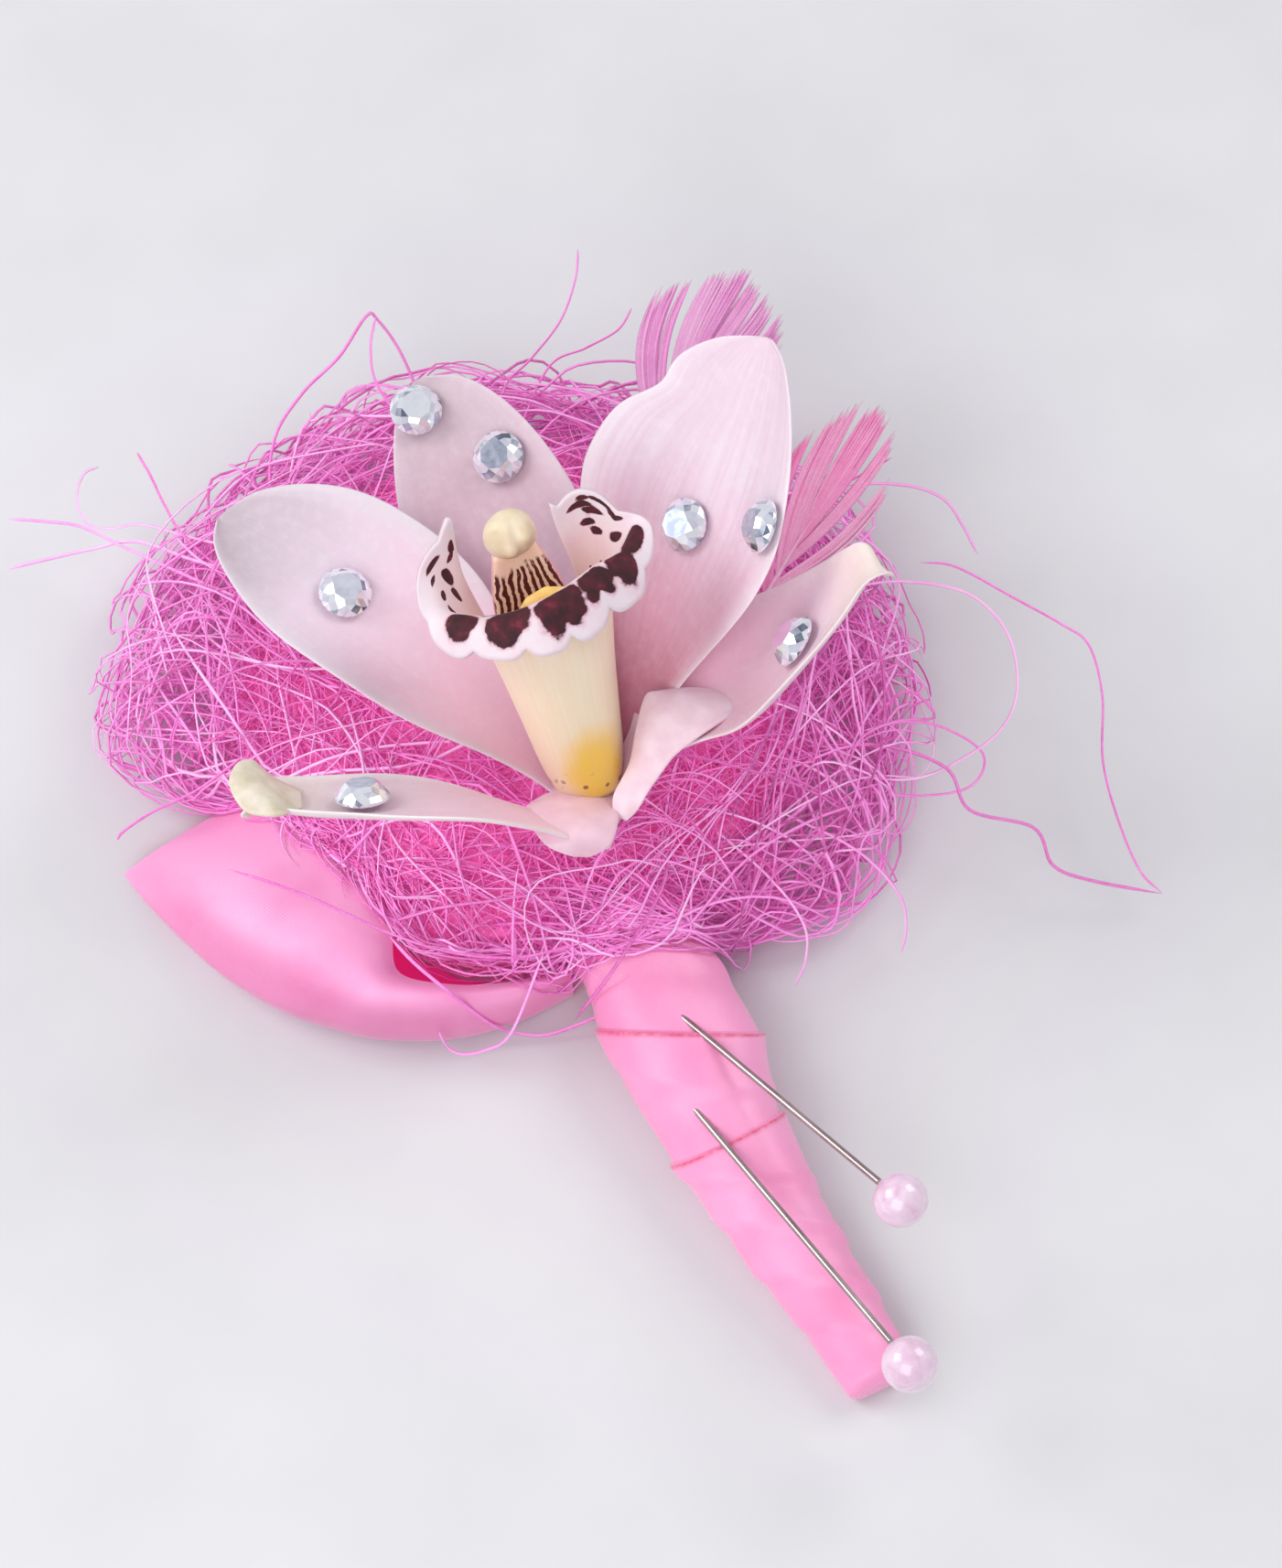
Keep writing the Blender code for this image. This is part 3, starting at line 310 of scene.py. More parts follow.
# The pad's underside and edge as (share of its rim, height), then the shares of its upper face
PAD_UNDERSIDE = [(0.0, 2.2), (0.5, 2.0), (0.86, 2.2), (0.95, 3.2), (1.0, 5.5), (0.99, 9.0)]
PAD_TOP_SHARES = (0.97, 0.93, 0.86, 0.78, 0.68, 0.58, 0.48, 0.38, 0.28, 0.18, 0.08, 0.0)
NEST_SEED = 11
ROUND_FIBRE = [(1.0, 0.0), (-0.5, 0.87), (-0.5, -0.87)]
# The strands round the rim: how many, steps and stride of each, curl, the ring between two
# distances and the two heights that they keep to, and half a strand's width
SISAL_LAYERS = {
    "sisal_rim_low": (240, 34, 2.6, 0.022, 27, 42, 1.5, 9.0, 0.155),
    "sisal_rim_high": (250, 32, 2.4, 0.024, 27, 42.5, 7.0, 16.0, 0.15),
    "sisal_rim_loose": (100, 40, 2.4, 0.04, 34, 46.5, 3.0, 16.5, 0.145),
}
# How strongly strands that leave their place are turned back to it
STEERING = 0.16
FELT_COUNT = 2300
FELT_STEPS = 11
FELT_RADIUS = 33
# How far the nest's strands lie from its middle, by bearing: short of the ribbon loop and the stem
NEST_REACH = [
    (-180, 29.5), (-174, 29.0), (-161, 28.0), (-147, 29.5), (-138, 33.5), (-132, 35.5), (-125, 35.5),
    (-116, 35.0), (-105, 35.5), (-90, 36.5), (-75, 40.0), (-60, 45.5), (-30, 47.0), (0, 47.0), (90, 46.5),
    (135, 47.0), (162, 47.0), (169, 39.0), (175, 33.0), (180, 29.5)]
# Single strands that leave the nest, each by points on its way
STRAYS = [
    [(50.1, 15.1, 14.0), (53.7, 12.6, 14.0), (57.9, 5.5, 14.0), (61.4, 0.6, 13.0), (63.3, -2.9, 12.0),
     (62.1, -8.7, 10.0), (58.6, -15.4, 8.0), (57.1, -21.7, 6.0), (56.6, -28.4, 4.0), (57.8, -32.0, 3.0)],
    [(57.8, -32.0, 3.0), (50.3, -27.5, 5.0), (47.1, -24.3, 6.0), (47.2, -19.5, 7.0), (41.3, -14.6, 8.0),
     (41.2, -9.0, 9.0), (36.0, -3.7, 10.0), (28.0, -1.0, 12.0)],
    [(34.0, 17.0, 13.0), (42.7, 15.1, 14.0), (47.9, 12.3, 15.0), (52.9, 7.9, 15.0), (54.7, 2.0, 14.0),
     (53.3, -3.6, 12.0), (50.1, -7.0, 10.0), (44.5, -8.5, 9.0), (36.9, -7.9, 8.0), (28.0, -3.0, 9.0)],
    [(-27.0, -2.2, 12.5), (-25.8, -6.8, 12.5), (-23.6, -11.4, 11.5), (-20.1, -13.7, 5.0),
     (-17.5, -14.6, 2.0), (-13.9, -16.4, 1.5), (-7.8, -17.9, 4.0), (-5.0, -19.7, 9.0)],
    [(6.0, -7.0, 13.0), (2.5, -11.6, 14.0), (-5.6, -17.0, 12.5), (-10.8, -16.8, 3.0)],
    [(-40.1, 12.7, 14.0), (-34.1, 5.7, 15.0), (-26.6, -3.3, 14.0), (-20.9, -7.8, 12.5),
     (-14.7, -11.3, 12.5), (-7.5, -13.0, 13.0)],
    [(33.0, -1.0, 11.0), (39.0, -1.6, 10.0), (43.4, -3.8, 9.0), (46.3, -8.7, 8.0), (43.1, -11.4, 7.0),
     (36.8, -9.7, 7.0), (30.0, -6.0, 8.0)],
    [(6.6, 60.0, 11.0), (6.6, 68.5, 16.0), (5.1, 72.0, 20.0), (3.8, 72.4, 21.0), (-1.1, 69.7, 19.0),
     (-6.9, 68.0, 17.0), (-12.2, 64.6, 15.0), (-15.1, 58.6, 12.0), (-13.0, 50.0, 11.0)],
    [(5.0, 72.0, 21.0), (2.7, 68.5, 20.0), (1.9, 65.3, 17.0), (3.7, 60.2, 13.0), (6.0, 52.0, 12.0)],
    [(13.0, 54.0, 12.0), (16.4, 60.0, 14.0), (20.0, 59.9, 18.0), (24.5, 60.8, 22.0), (28.2, 64.3, 24.0),
     (30.5, 68.3, 24.0)],
    [(16.0, 55.0, 12.0), (22.8, 60.6, 14.0), (27.1, 59.1, 17.0), (31.5, 59.2, 18.0), (34.2, 60.8, 19.0)],
    [(-47.5, 65.3, 9.0), (-42.8, 64.5, 9.0), (-37.3, 63.5, 9.0), (-32.0, 61.4, 10.0), (-26.8, 54.2, 12.0),
     (-18.0, 46.0, 12.0)],
    [(-44.8, 72.1, 9.0), (-40.8, 69.7, 9.0), (-37.1, 67.0, 9.0), (-33.4, 60.9, 10.0), (-29.4, 53.7, 12.0),
     (-22.0, 44.0, 12.0)],
    [(-27.4, 72.3, 12.0), (-27.2, 68.3, 12.0), (-27.3, 63.1, 12.0), (-26.8, 57.7, 12.0),
     (-23.4, 48.3, 12.0)],
    [(-31.9, 74.4, 9.0), (-34.0, 74.2, 9.0), (-36.1, 71.2, 9.0), (-36.3, 67.2, 9.0), (-34.1, 64.5, 10.0),
     (-30.6, 62.7, 11.0), (-24.5, 56.2, 12.0), (-16.0, 50.0, 12.0)],
    [(-12.0, -12.0, 13.5), (-18.6, -16.8, 7.0), (-21.8, -16.2, 4.0), (-24.2, -15.0, 3.0),
     (-25.5, -13.9, 4.0), (-26.2, -13.7, 8.0)],
    [(26.8, -25.5, 3.0), (28.4, -23.3, 5.0), (28.9, -20.0, 7.0), (26.1, -14.1, 10.0), (20.0, -6.0, 11.0)],
    [(13.5, -24.3, 4.0), (15.6, -22.8, 6.0), (16.7, -19.9, 9.0), (15.4, -13.8, 11.0), (12.0, -5.0, 12.0)],
    [(-49.0, 28.1, 3.0), (-47.9, 28.3, 4.0), (-44.2, 27.5, 7.0), (-38.7, 26.8, 9.0), (-32.0, 27.0, 12.0)],
    [(58.4, 15.3, 10.0), (58.4, 19.1, 11.0), (57.3, 22.6, 13.0), (53.4, 25.9, 14.0), (46.2, 29.2, 14.0),
     (34.0, 33.0, 13.0)],
    [(53.5, 28.8, 16.0), (47.8, 28.6, 15.0), (40.7, 28.2, 14.0), (30.0, 28.0, 13.5)]]

# The studio: the way to each light (right, up and back in the camera's view), its power in watts
# and its size in metres
LIGHTS = {
    "soft_left": ((-0.78, 0.42, 0.46), 1.75, 0.34),
    "soft_right": ((0.59, 0.7, 0.4), 1.15, 0.3),
    "soft_front": ((-0.25, -0.3, 0.9), 1.8, 0.45),
}
LIGHT_DISTANCE = 620
STUDIO_TONE = (0.93, 0.93, 0.95)
STUDIO_STRENGTH = 0.6
# The floor's length and width in metres
FLOOR_SIZE = 6.0


def unit(vector):
    vector = np.asarray(vector, float)
    return vector / np.linalg.norm(vector, axis=-1, keepdims=True)


FACING = unit(BLOOM_FACING)
DORSAL = unit(np.array(DORSAL_DIRECTION) - FACING * np.dot(DORSAL_DIRECTION, FACING))
SIDE = np.cross(DORSAL, FACING)


def ease(values, u):
    """A smooth value, or point, at each u of a list spread evenly from 0 to 1."""
    values = np.asarray(values, float)
    last = len(values) - 1
    place = np.clip(np.asarray(u, float), 0.0, 1.0) * last
    i = np.minimum(place.astype(int), last - 1)
    t = place - i
    if values.ndim > 1:
        t = t[..., None]
    held = np.concatenate([[2 * values[0] - values[1]], values, [2 * values[-1] - values[-2]]])
    p0, p1, p2, p3 = held[i], held[i + 1], held[i + 2], held[i + 3]
    return 0.5 * (2 * p1 + (p2 - p0) * t + (2 * p0 - 5 * p1 + 4 * p2 - p3) * t ** 2
                  + (3 * p1 - p0 - 3 * p2 + p3) * t ** 3)


def smoothstep(t):
    t = np.clip(t, 0.0, 1.0)
    return t * t * (3 - 2 * t)


def smoothed(values):
    """Each value averaged with seven neighbours on each side. The list loses seven at both ends."""
    return np.convolve(values, np.hanning(15) / np.hanning(15).sum(), "valid")


def oval(place, angles, wide, side, high, up):
    """Points of an oval round a place, so wide along one direction and so high along another."""
    return place + np.outer(np.cos(angles) * wide, side) + np.outer(np.sin(angles) * high, up)


def lattice_normals(points):
    """Unit normals of a lattice of points."""
    return unit(np.cross(np.gradient(points, axis=0), np.gradient(points, axis=1)))


# Modelling

def fresh(add, name, **settings):
    """A new primitive under a piece's name, with nothing else selected."""
    bpy.ops.object.select_all(action="DESELECT")
    add(**settings)
    piece = bpy.context.object
    piece.name = name
    piece.data.name = name
    return piece


def pick(piece):
    bpy.ops.object.select_all(action="DESELECT")
    piece.select_set(True)
    bpy.context.view_layer.objects.active = piece


def lay(piece, points):
    """Moves a piece's corners to points that are given in millimetres."""
    piece.data.vertices.foreach_set("co", (points * MM).astype(np.float32).ravel())
    piece.data.update()


def laid_grid(name, points):
    """A grid primitive whose corners are laid over a lattice of points."""
    rows, columns = points.shape[:2]
    piece = fresh(bpy.ops.mesh.primitive_grid_add, name, x_subdivisions=columns - 1,
                  y_subdivisions=rows - 1)
    lay(piece, points)
    return piece


def unit_sphere(name, segments, rings):
    """A sphere primitive, and the places of its corners."""
    piece = fresh(bpy.ops.mesh.primitive_uv_sphere_add, name, segments=segments, ring_count=rings,
                  radius=1.0)
    corners = np.zeros(len(piece.data.vertices) * 3, np.float32)
    piece.data.vertices.foreach_get("co", corners)
    return piece, corners.reshape(-1, 3).astype(float)


def mark(piece, name, values):
    """Numbers for each vertex, that the piece's material reads."""
    attribute = piece.data.attributes.new(name, "FLOAT", "POINT")
    attribute.data.foreach_set("value", np.asarray(values, np.float32).ravel())


def close_up(piece, outward=True):
    """Joins the vertices that lie on each other and turns the faces outwards."""
    pick(piece)
    bpy.ops.object.mode_set(mode="EDIT")
    bpy.ops.mesh.select_all(action="SELECT")
    bpy.ops.mesh.remove_doubles(threshold=1e-6)
    if outward:
        bpy.ops.mesh.normals_make_consistent(inside=False)
    bpy.ops.object.mode_set(mode="OBJECT")


def laid_tube(name, rings, **marks):
    """A closed tube through rings of points, its ends drawn together."""
    rings = np.asarray(rings, float)
    ends = [np.broadcast_to(ring.mean(axis=0), ring.shape) for ring in (rings[0], rings[-1])]
    points = np.concatenate([ends[:1], rings, ends[1:]])
    points = np.concatenate([points, points[:, :1]], axis=1)
    piece = laid_grid(name, points)
    for key, values in marks.items():
        values = np.concatenate([values[:1], values, values[-1:]])
        mark(piece, key, np.concatenate([values, values[:, :1]], axis=1))
    close_up(piece)
    return piece


def finish_with(piece, kind, **settings):
    modifier = piece.modifiers.new(kind.lower(), kind)
    for key, value in settings.items():
        setattr(modifier, key, value)
    pick(piece)
    bpy.ops.object.modifier_apply(modifier=modifier.name)


def smooth(piece, angle=None):
    pick(piece)
    if angle is None:
        bpy.ops.object.shade_smooth()
    else:
        bpy.ops.object.shade_smooth_by_angle(angle=math.radians(angle))


def tube_rings(path, half_widths, half_heights, side_axis, sides):
    """Rings along a path, as wide as given along the side axis and as high across it."""
    path = np.asarray(path, float)
    side = np.asarray(side_axis, float)
    angles = 2 * math.pi * (np.arange(sides) + 0.5) / sides
    rings = []
    for place, tangent, wide, high in zip(path, np.gradient(path, axis=0), half_widths, half_heights):
        tangent = unit(tangent)
        side = unit(side - tangent * np.dot(side, tangent))
        up = np.cross(tangent, side)
        rings.append(oval(place, angles, wide, side, high, up))
    return rings


def cross_section(name, corners):
    """A small closed curve that fibres are swept with."""
    curve = bpy.data.curves.new(name, "CURVE")
    spline = curve.splines.new("POLY")
    spline.points.add(len(corners) - 1)
    spline.points.foreach_set("co", np.array([(x, y, 0.0, 1.0) for x, y in corners], np.float32).ravel())
    spline.use_cyclic_u = True
    section = bpy.data.objects.new(name, curve)
    bpy.context.scene.collection.objects.link(section)
    return section


def fibres(name, paths, radii, tints, corners, twist="MINIMUM"):
    """Thin strands swept along paths, tapering to nothing at their ends, as one mesh."""
    section = cross_section(name + "_section", corners)
    curve = bpy.data.curves.new(name, "CURVE")
    curve.dimensions = "3D"
    curve.bevel_mode = "OBJECT"
    curve.bevel_object = section
    curve.twist_mode = twist
    for path, widths in zip(paths, radii):
        spline = curve.splines.new("POLY")
        spline.points.add(len(path) - 1)
        ends = np.ones((len(path), 1))
        spline.points.foreach_set("co", np.hstack([np.asarray(path) * MM, ends]).astype(np.float32).ravel())
        spline.points.foreach_set("radius", (np.asarray(widths) * MM).astype(np.float32))
    piece = bpy.data.objects.new(name, curve)
    bpy.context.scene.collection.objects.link(piece)
    pick(piece)
    bpy.ops.object.convert(target="MESH")
    piece = bpy.context.object
    piece.data.name = name
    mark(piece, "tint", np.repeat(tints, [len(path) * len(corners) for path in paths]))
    bpy.data.objects.remove(section)
    close_up(piece, outward=False)
    smooth(piece)
    return piece


def taper(count, start=0.12, end=0.12):
    """Widths along a strand: nothing at both ends, full between."""
    u = np.linspace(0, 1, count)
    return np.minimum(np.minimum(u / start, (1 - u) / end), 1.0) ** 0.7


# Materials

def tone(red, green, blue):
    """A colour as it is seen, in the numbers that a shader takes."""
    seen = np.array((red, green, blue))
    return (*np.where(seen <= 0.04045, seen / 12.92, ((seen + 0.055) / 1.055) ** 2.4).tolist(), 1.0)


def finish(name, **sockets):
    """A new material's nodes and its shader, with the shader's own sockets set."""
    material = bpy.data.materials.new(name)
    material.use_nodes = True
    shader = material.node_tree.nodes["Principled BSDF"]
    for socket, value in sockets.items():
        shader.inputs[socket.replace("_", " ").title().replace("Ior", "IOR")].default_value = value
    return material, material.node_tree, shader


def wired(tree, kind, feeds, **settings):
    """A new node, each of its inputs set to a value or fed by another node's output."""
    made = tree.nodes.new(kind)
    for key, value in settings.items():
        setattr(made, key, value)
    for socket, value in feeds.items():
        if isinstance(value, bpy.types.NodeSocket):
            tree.links.new(value, made.inputs[socket])
        else:
            made.inputs[socket].default_value = value
    return made


def feed(tree, shader, **sockets):
    for socket, value in sockets.items():
        tree.links.new(value, shader.inputs[socket.replace("_", " ").title()])


def place_on(tree, source="Object"):
    return wired(tree, "ShaderNodeTexCoord", {}).outputs[source]


def parts_of(tree, vector):
    split = wired(tree, "ShaderNodeSeparateXYZ", {0: vector})
    return split.outputs[0], split.outputs[1], split.outputs[2]


def stretched(tree, vector, scale, turn=(0, 0, 0)):
    turned = tuple(math.radians(angle) for angle in turn)
    return wired(tree, "ShaderNodeMapping", {0: vector, "Rotation": turned, "Scale": scale}).outputs[0]


def noise(tree, vector, scale, detail=3.0, roughness=0.5, distortion=0.0):
    return wired(tree, "ShaderNodeTexNoise", {
        "Vector": vector, "Scale": scale, "Detail": detail, "Roughness": roughness,
        "Distortion": distortion}).outputs[0]


def bands(tree, vector, scale, distortion=0.0, detail=2.0, detail_scale=1.0, direction="X", form="SIN"):
    return wired(tree, "ShaderNodeTexWave", {
        "Vector": vector, "Scale": scale, "Distortion": distortion, "Detail": detail,
        "Detail Scale": detail_scale}, bands_direction=direction, wave_profile=form).outputs[1]


def ramp(tree, factor, stops, interpolation="LINEAR"):
    """Colours or greys along a factor: stops are (place, tone) or (place, grey)."""
    made = wired(tree, "ShaderNodeValToRGB", {0: factor})
    made.color_ramp.interpolation = interpolation
    elements = made.color_ramp.elements
    while len(elements) < len(stops):
        elements.new(0.5)
    for element, (place, value) in zip(elements, sorted(stops, key=lambda stop: stop[0])):
        element.position = place
        element.color = (value, value, value, 1.0) if isinstance(value, (int, float)) else tone(*value)
    return made.outputs[0]


def graded(tree, grain, low, high):
    """One grey or tone where a grain is weak, another where it is strong, and all between."""
    return ramp(tree, grain, [(0.3, low), (0.7, high)])


def blend(tree, factor, under, over, mode="MIX"):
    """A colour, and another one over it as far as the factor says."""
    over = over if isinstance(over, bpy.types.NodeSocket) else tone(*over)
    feeds = {0: factor, 6: under, 7: over}
    return wired(tree, "ShaderNodeMix", feeds, data_type="RGBA", blend_type=mode).outputs[2]


def maths(tree, operation, first, second=0.0, third=0.0, clamp=False):
    values = {0: first, 1: second, 2: third}
    return wired(tree, "ShaderNodeMath", values, operation=operation, use_clamp=clamp).outputs[0]


def plus(tree, first, second, clamp=False):
    return maths(tree, "ADD", first, second, clamp=clamp)


def times(tree, first, second):
    return maths(tree, "MULTIPLY", first, second)


def minus(tree, first, second):
    return maths(tree, "SUBTRACT", first, second)


def unevenly(tree, value, cloud, amount):
    """A value pushed up and down by a cloudy noise, and kept between 0 and 1."""
    return plus(tree, value, times(tree, minus(tree, cloud, 0.5), amount), clamp=True)


def relief(tree, height, strength, distance, under=None):
    feeds = {"Height": height, "Strength": strength, "Distance": distance * MM}
    if under is not None:
        feeds["Normal"] = under
    return wired(tree, "ShaderNodeBump", feeds).outputs[0]


def marked(tree, name):
    return wired(tree, "ShaderNodeAttribute", {}, attribute_name=name).outputs["Fac"]


def wear(piece, *materials):
    piece.data.materials.clear()
    for material in materials:
        piece.data.materials.append(material)


def petal_finish(name, base, middle, pale, tip, margin):
    """Waxy petal flesh: pink at the base, paler outwards, with faint veins running lengthwise."""
    material, tree, shader = finish(
        name, subsurface_weight=0.3, subsurface_radius=(1.0, 0.7, 0.8), subsurface_scale=1.2 * MM,
        specular_ior_level=0.42)
    across, along, _ = parts_of(tree, place_on(tree, "UV"))
    body = place_on(tree)
    mottle = noise(tree, body, 140, detail=4)
    drift = maths(tree, "MULTIPLY_ADD", mottle, 0.16, -0.08)
    onward = plus(tree, along, drift, clamp=True)
    flesh = ramp(tree, onward, [(0.02, base), (0.36, middle), (0.72, pale), (0.97, tip)])
    side = maths(tree, "ABSOLUTE", maths(tree, "MULTIPLY_ADD", across, 2.0, -1.0))
    rim = ramp(tree, side, [(0.7, 0.0), (1.0, 0.75)])
    flesh = blend(tree, rim, flesh, margin)
    lines = stretched(tree, place_on(tree, "UV"), (34.0, 2.2, 1.0))
    veins = noise(tree, lines, 1.0, detail=5, roughness=0.6)
    flesh = blend(tree, ramp(tree, veins, [(0.42, 0.0), (0.7, 0.16)]), flesh, base)
    speck = noise(tree, body, 900, detail=2)
    flesh = blend(tree, ramp(tree, speck, [(0.45, 0.0), (0.75, 0.1)]), flesh, (0.98, 0.95, 0.97), "SCREEN")
    cells = noise(tree, body, 5200, detail=2)
    height = relief(tree, veins, 0.25, 0.16)
    height = relief(tree, mottle, 0.25, 0.35, under=height)
    height = relief(tree, cells, 0.22, 0.05, under=height)
    gloss = graded(tree, speck, 0.4, 0.55)
    feed(tree, shader, base_color=flesh, roughness=gloss, normal=height)
    return material


def lip_inside_finish():
    """The lip's inner face: white, with velvety dark blotches where its mark says so."""
    material, tree, shader = finish(
        "lip_inside", subsurface_weight=0.25, subsurface_radius=(1.0, 0.5, 0.45), subsurface_scale=0.9 * MM)
    body = place_on(tree)
    _, along, _ = parts_of(tree, place_on(tree, "UV"))
    ground = ramp(tree, along, [
        (0.1, (0.85, 0.62, 0.45)), (0.45, (0.93, 0.76, 0.66)), (0.66, (0.90, 0.79, 0.79)),
        (0.95, (0.88, 0.83, 0.86))])
    flush = noise(tree, body, 260, detail=3)
    ground = blend(tree, ramp(tree, flush, [(0.45, 0.0), (0.75, 0.3)]), ground, (0.88, 0.66, 0.74))
    ragged = noise(tree, body, 1100, detail=3, roughness=0.6)
    lobed = noise(tree, body, 420, detail=1)
    field = plus(tree, marked(tree, "blotch"), times(tree, ragged, 0.28))
    field = plus(tree, field, times(tree, lobed, 0.5))
    cover = ramp(tree, field, [(0.6, 0.0), (0.66, 1.0)])
    velvet = ramp(tree, noise(tree, body, 700, detail=3), [
        (0.35, (0.18, 0.0, 0.06)), (0.6, (0.30, 0.02, 0.10)), (0.78, (0.50, 0.11, 0.23))])
    halo = ramp(tree, field, [(0.5, 0.0), (0.62, 0.55)])
    ground = blend(tree, halo, ground, (0.80, 0.52, 0.62))
    colour = blend(tree, cover, ground, velvet)
    ridges = noise(tree, stretched(tree, place_on(tree, "UV"), (90, 5, 1)), 1.0, detail=3)
    height = relief(tree, ridges, 0.35, 0.12)
    height = relief(tree, noise(tree, body, 4200, detail=2), 0.35, 0.05, under=height)
    gloss = ramp(tree, field, [(0.55, 0.42), (0.68, 0.75)])
    feed(tree, shader, base_color=colour, roughness=gloss, normal=height)
    return material


def lip_outside_finish():
    """The lip's outer face: cream, a yellow patch low in front and a few dark specks at its foot."""
    material, tree, shader = finish(
        "lip_outside", subsurface_weight=0.3, subsurface_radius=(1.0, 0.6, 0.35), subsurface_scale=1.0 * MM)
    body = place_on(tree)
    across, along, _ = parts_of(tree, place_on(tree, "UV"))
    cream = ramp(tree, along, [
        (0.0, (0.92, 0.78, 0.66)), (0.25, (0.94, 0.87, 0.75)), (0.55, (0.94, 0.88, 0.79)),
        (0.8, (0.89, 0.81, 0.82)), (1.0, (0.87, 0.82, 0.85))])
    sideways = times(tree, minus(tree, across, 0.56), 3.4)
    upward = times(tree, minus(tree, along, 0.12), 5.0)
    reach = plus(tree, maths(tree, "POWER", maths(tree, "ABSOLUTE", sideways), 2.0),
                 maths(tree, "POWER", maths(tree, "ABSOLUTE", upward), 2.0))
    soft = plus(tree, reach, times(tree, noise(tree, body, 300, detail=3), 0.3))
    patch = ramp(tree, soft, [(0.25, 1.0), (0.85, 0.0)], "EASE")
    colour = blend(tree, patch, cream, (0.94, 0.77, 0.31))
    cells = wired(tree, "ShaderNodeTexVoronoi", {"Vector": body, "Scale": 750.0, "Randomness": 1.0})
    specks = cells.outputs["Distance"]
    low = ramp(tree, along, [(0.0, 1.0), (0.1, 0.8), (0.16, 0.0)])
    rare = ramp(tree, noise(tree, body, 500, detail=1), [(0.46, 0.0), (0.52, 1.0)])
    dots = times(tree, times(tree, ramp(tree, specks, [(0.22, 1.0), (0.3, 0.0)]), low), rare)
    colour = blend(tree, dots, colour, (0.42, 0.14, 0.2))
    flow = noise(tree, stretched(tree, place_on(tree, "UV"), (60, 3, 1)), 1.0, detail=4)
    colour = blend(tree, ramp(tree, flow, [(0.4, 0.0), (0.75, 0.18)]), colour, (0.90, 0.70, 0.60))
    height = relief(tree, flow, 0.25, 0.12)
    height = relief(tree, noise(tree, body, 5000, detail=2), 0.25, 0.04, under=height)
    feed(tree, shader, base_color=colour, normal=height,
         roughness=graded(tree, noise(tree, body, 800), 0.36, 0.5))
    return material


def column_finish():
    """The column: pale pink, its front striped with wavy dark lines where its mark says so."""
    material, tree, shader = finish(
        "column_flesh", subsurface_weight=0.3, subsurface_radius=(1.0, 0.5, 0.35),
        subsurface_scale=1.0 * MM)
    body = place_on(tree)
    front = marked(tree, "front")
    high = marked(tree, "high")
    over = marked(tree, "over")
    rose = noise(tree, body, 300, detail=3)
    back = graded(tree, rose, (0.88, 0.70, 0.72), (0.93, 0.80, 0.80))
    face = ramp(tree, high, [
        (0.3, (0.95, 0.80, 0.55)), (0.62, (0.91, 0.77, 0.64)), (0.9, (0.95, 0.84, 0.76))])
    colour = blend(tree, ramp(tree, front, [(0.35, 0.0), (0.6, 1.0)]), back, face)
    sway = noise(tree, body, 330, detail=3, roughness=0.6)
    phase = plus(tree, times(tree, over, 4.6), times(tree, sway, 2.1))
    wave = plus(tree, maths(tree, "SINE", times(tree, phase, 2 * math.pi)), 0.3)
    stripes = ramp(tree, wave, [(0.0, 0.0), (0.18, 1.0)])
    ragged = plus(tree, high, times(tree, minus(tree, noise(tree, body, 900), 0.5), 0.16))
    window = ramp(tree, ragged, [(0.62, 0.0), (0.65, 1.0), (0.9, 1.0), (0.93, 0.0)])
    striped = times(tree, times(tree, stripes, window), ramp(tree, front, [(0.4, 0.0), (0.55, 1.0)]))
    colour = blend(tree, striped, colour, (0.33, 0.07, 0.09))
    flanks = ramp(tree, front, [(0.2, 0.0), (0.42, 0.75), (0.62, 0.0)])
    blush = times(tree, flanks, ramp(tree, high, [(0.5, 0.0), (0.8, 1.0)]))
    colour = blend(tree, blush, colour, (0.85, 0.45, 0.52))
    height = relief(tree, noise(tree, body, 4600, detail=2), 0.3, 0.05)
    feed(tree, shader, base_color=colour, normal=height, roughness=graded(tree, rose, 0.34, 0.48))
    return material


def waxy_finish(name, low, high):
    """Smooth waxy flesh between two tones."""
    material, tree, shader = finish(
        name, subsurface_weight=0.3, subsurface_radius=(1.0, 0.6, 0.4), subsurface_scale=0.9 * MM)
    body = place_on(tree)
    mottle = noise(tree, body, 420, detail=4)
    height = relief(tree, mottle, 0.35, 0.12)
    height = relief(tree, noise(tree, body, 4800, detail=2), 0.25, 0.04, under=height)
    feed(tree, shader, base_color=graded(tree, mottle, low, high), normal=height,
         roughness=graded(tree, noise(tree, body, 900), 0.35, 0.5))
    return material


def stalk_finish():
    """The bloom's stalk: green below, flushed pink where the tepals join it."""
    material = waxy_finish("stalk_flesh", (0.52, 0.58, 0.32), (0.74, 0.74, 0.52))
    tree = material.node_tree
    shader = tree.nodes["Principled BSDF"]
    flesh = shader.inputs["Base Color"].links[0].from_socket
    _, _, height = parts_of(tree, place_on(tree))
    pink = ramp(tree, wired(tree, "ShaderNodeMapRange", {0: height, 1: 15.0 * MM, 2: 18.5 * MM}).outputs[0],
                [(0.0, 0.0), (1.0, 1.0)])
    feed(tree, shader, base_color=blend(tree, pink, flesh, (0.90, 0.70, 0.77)))
    return material


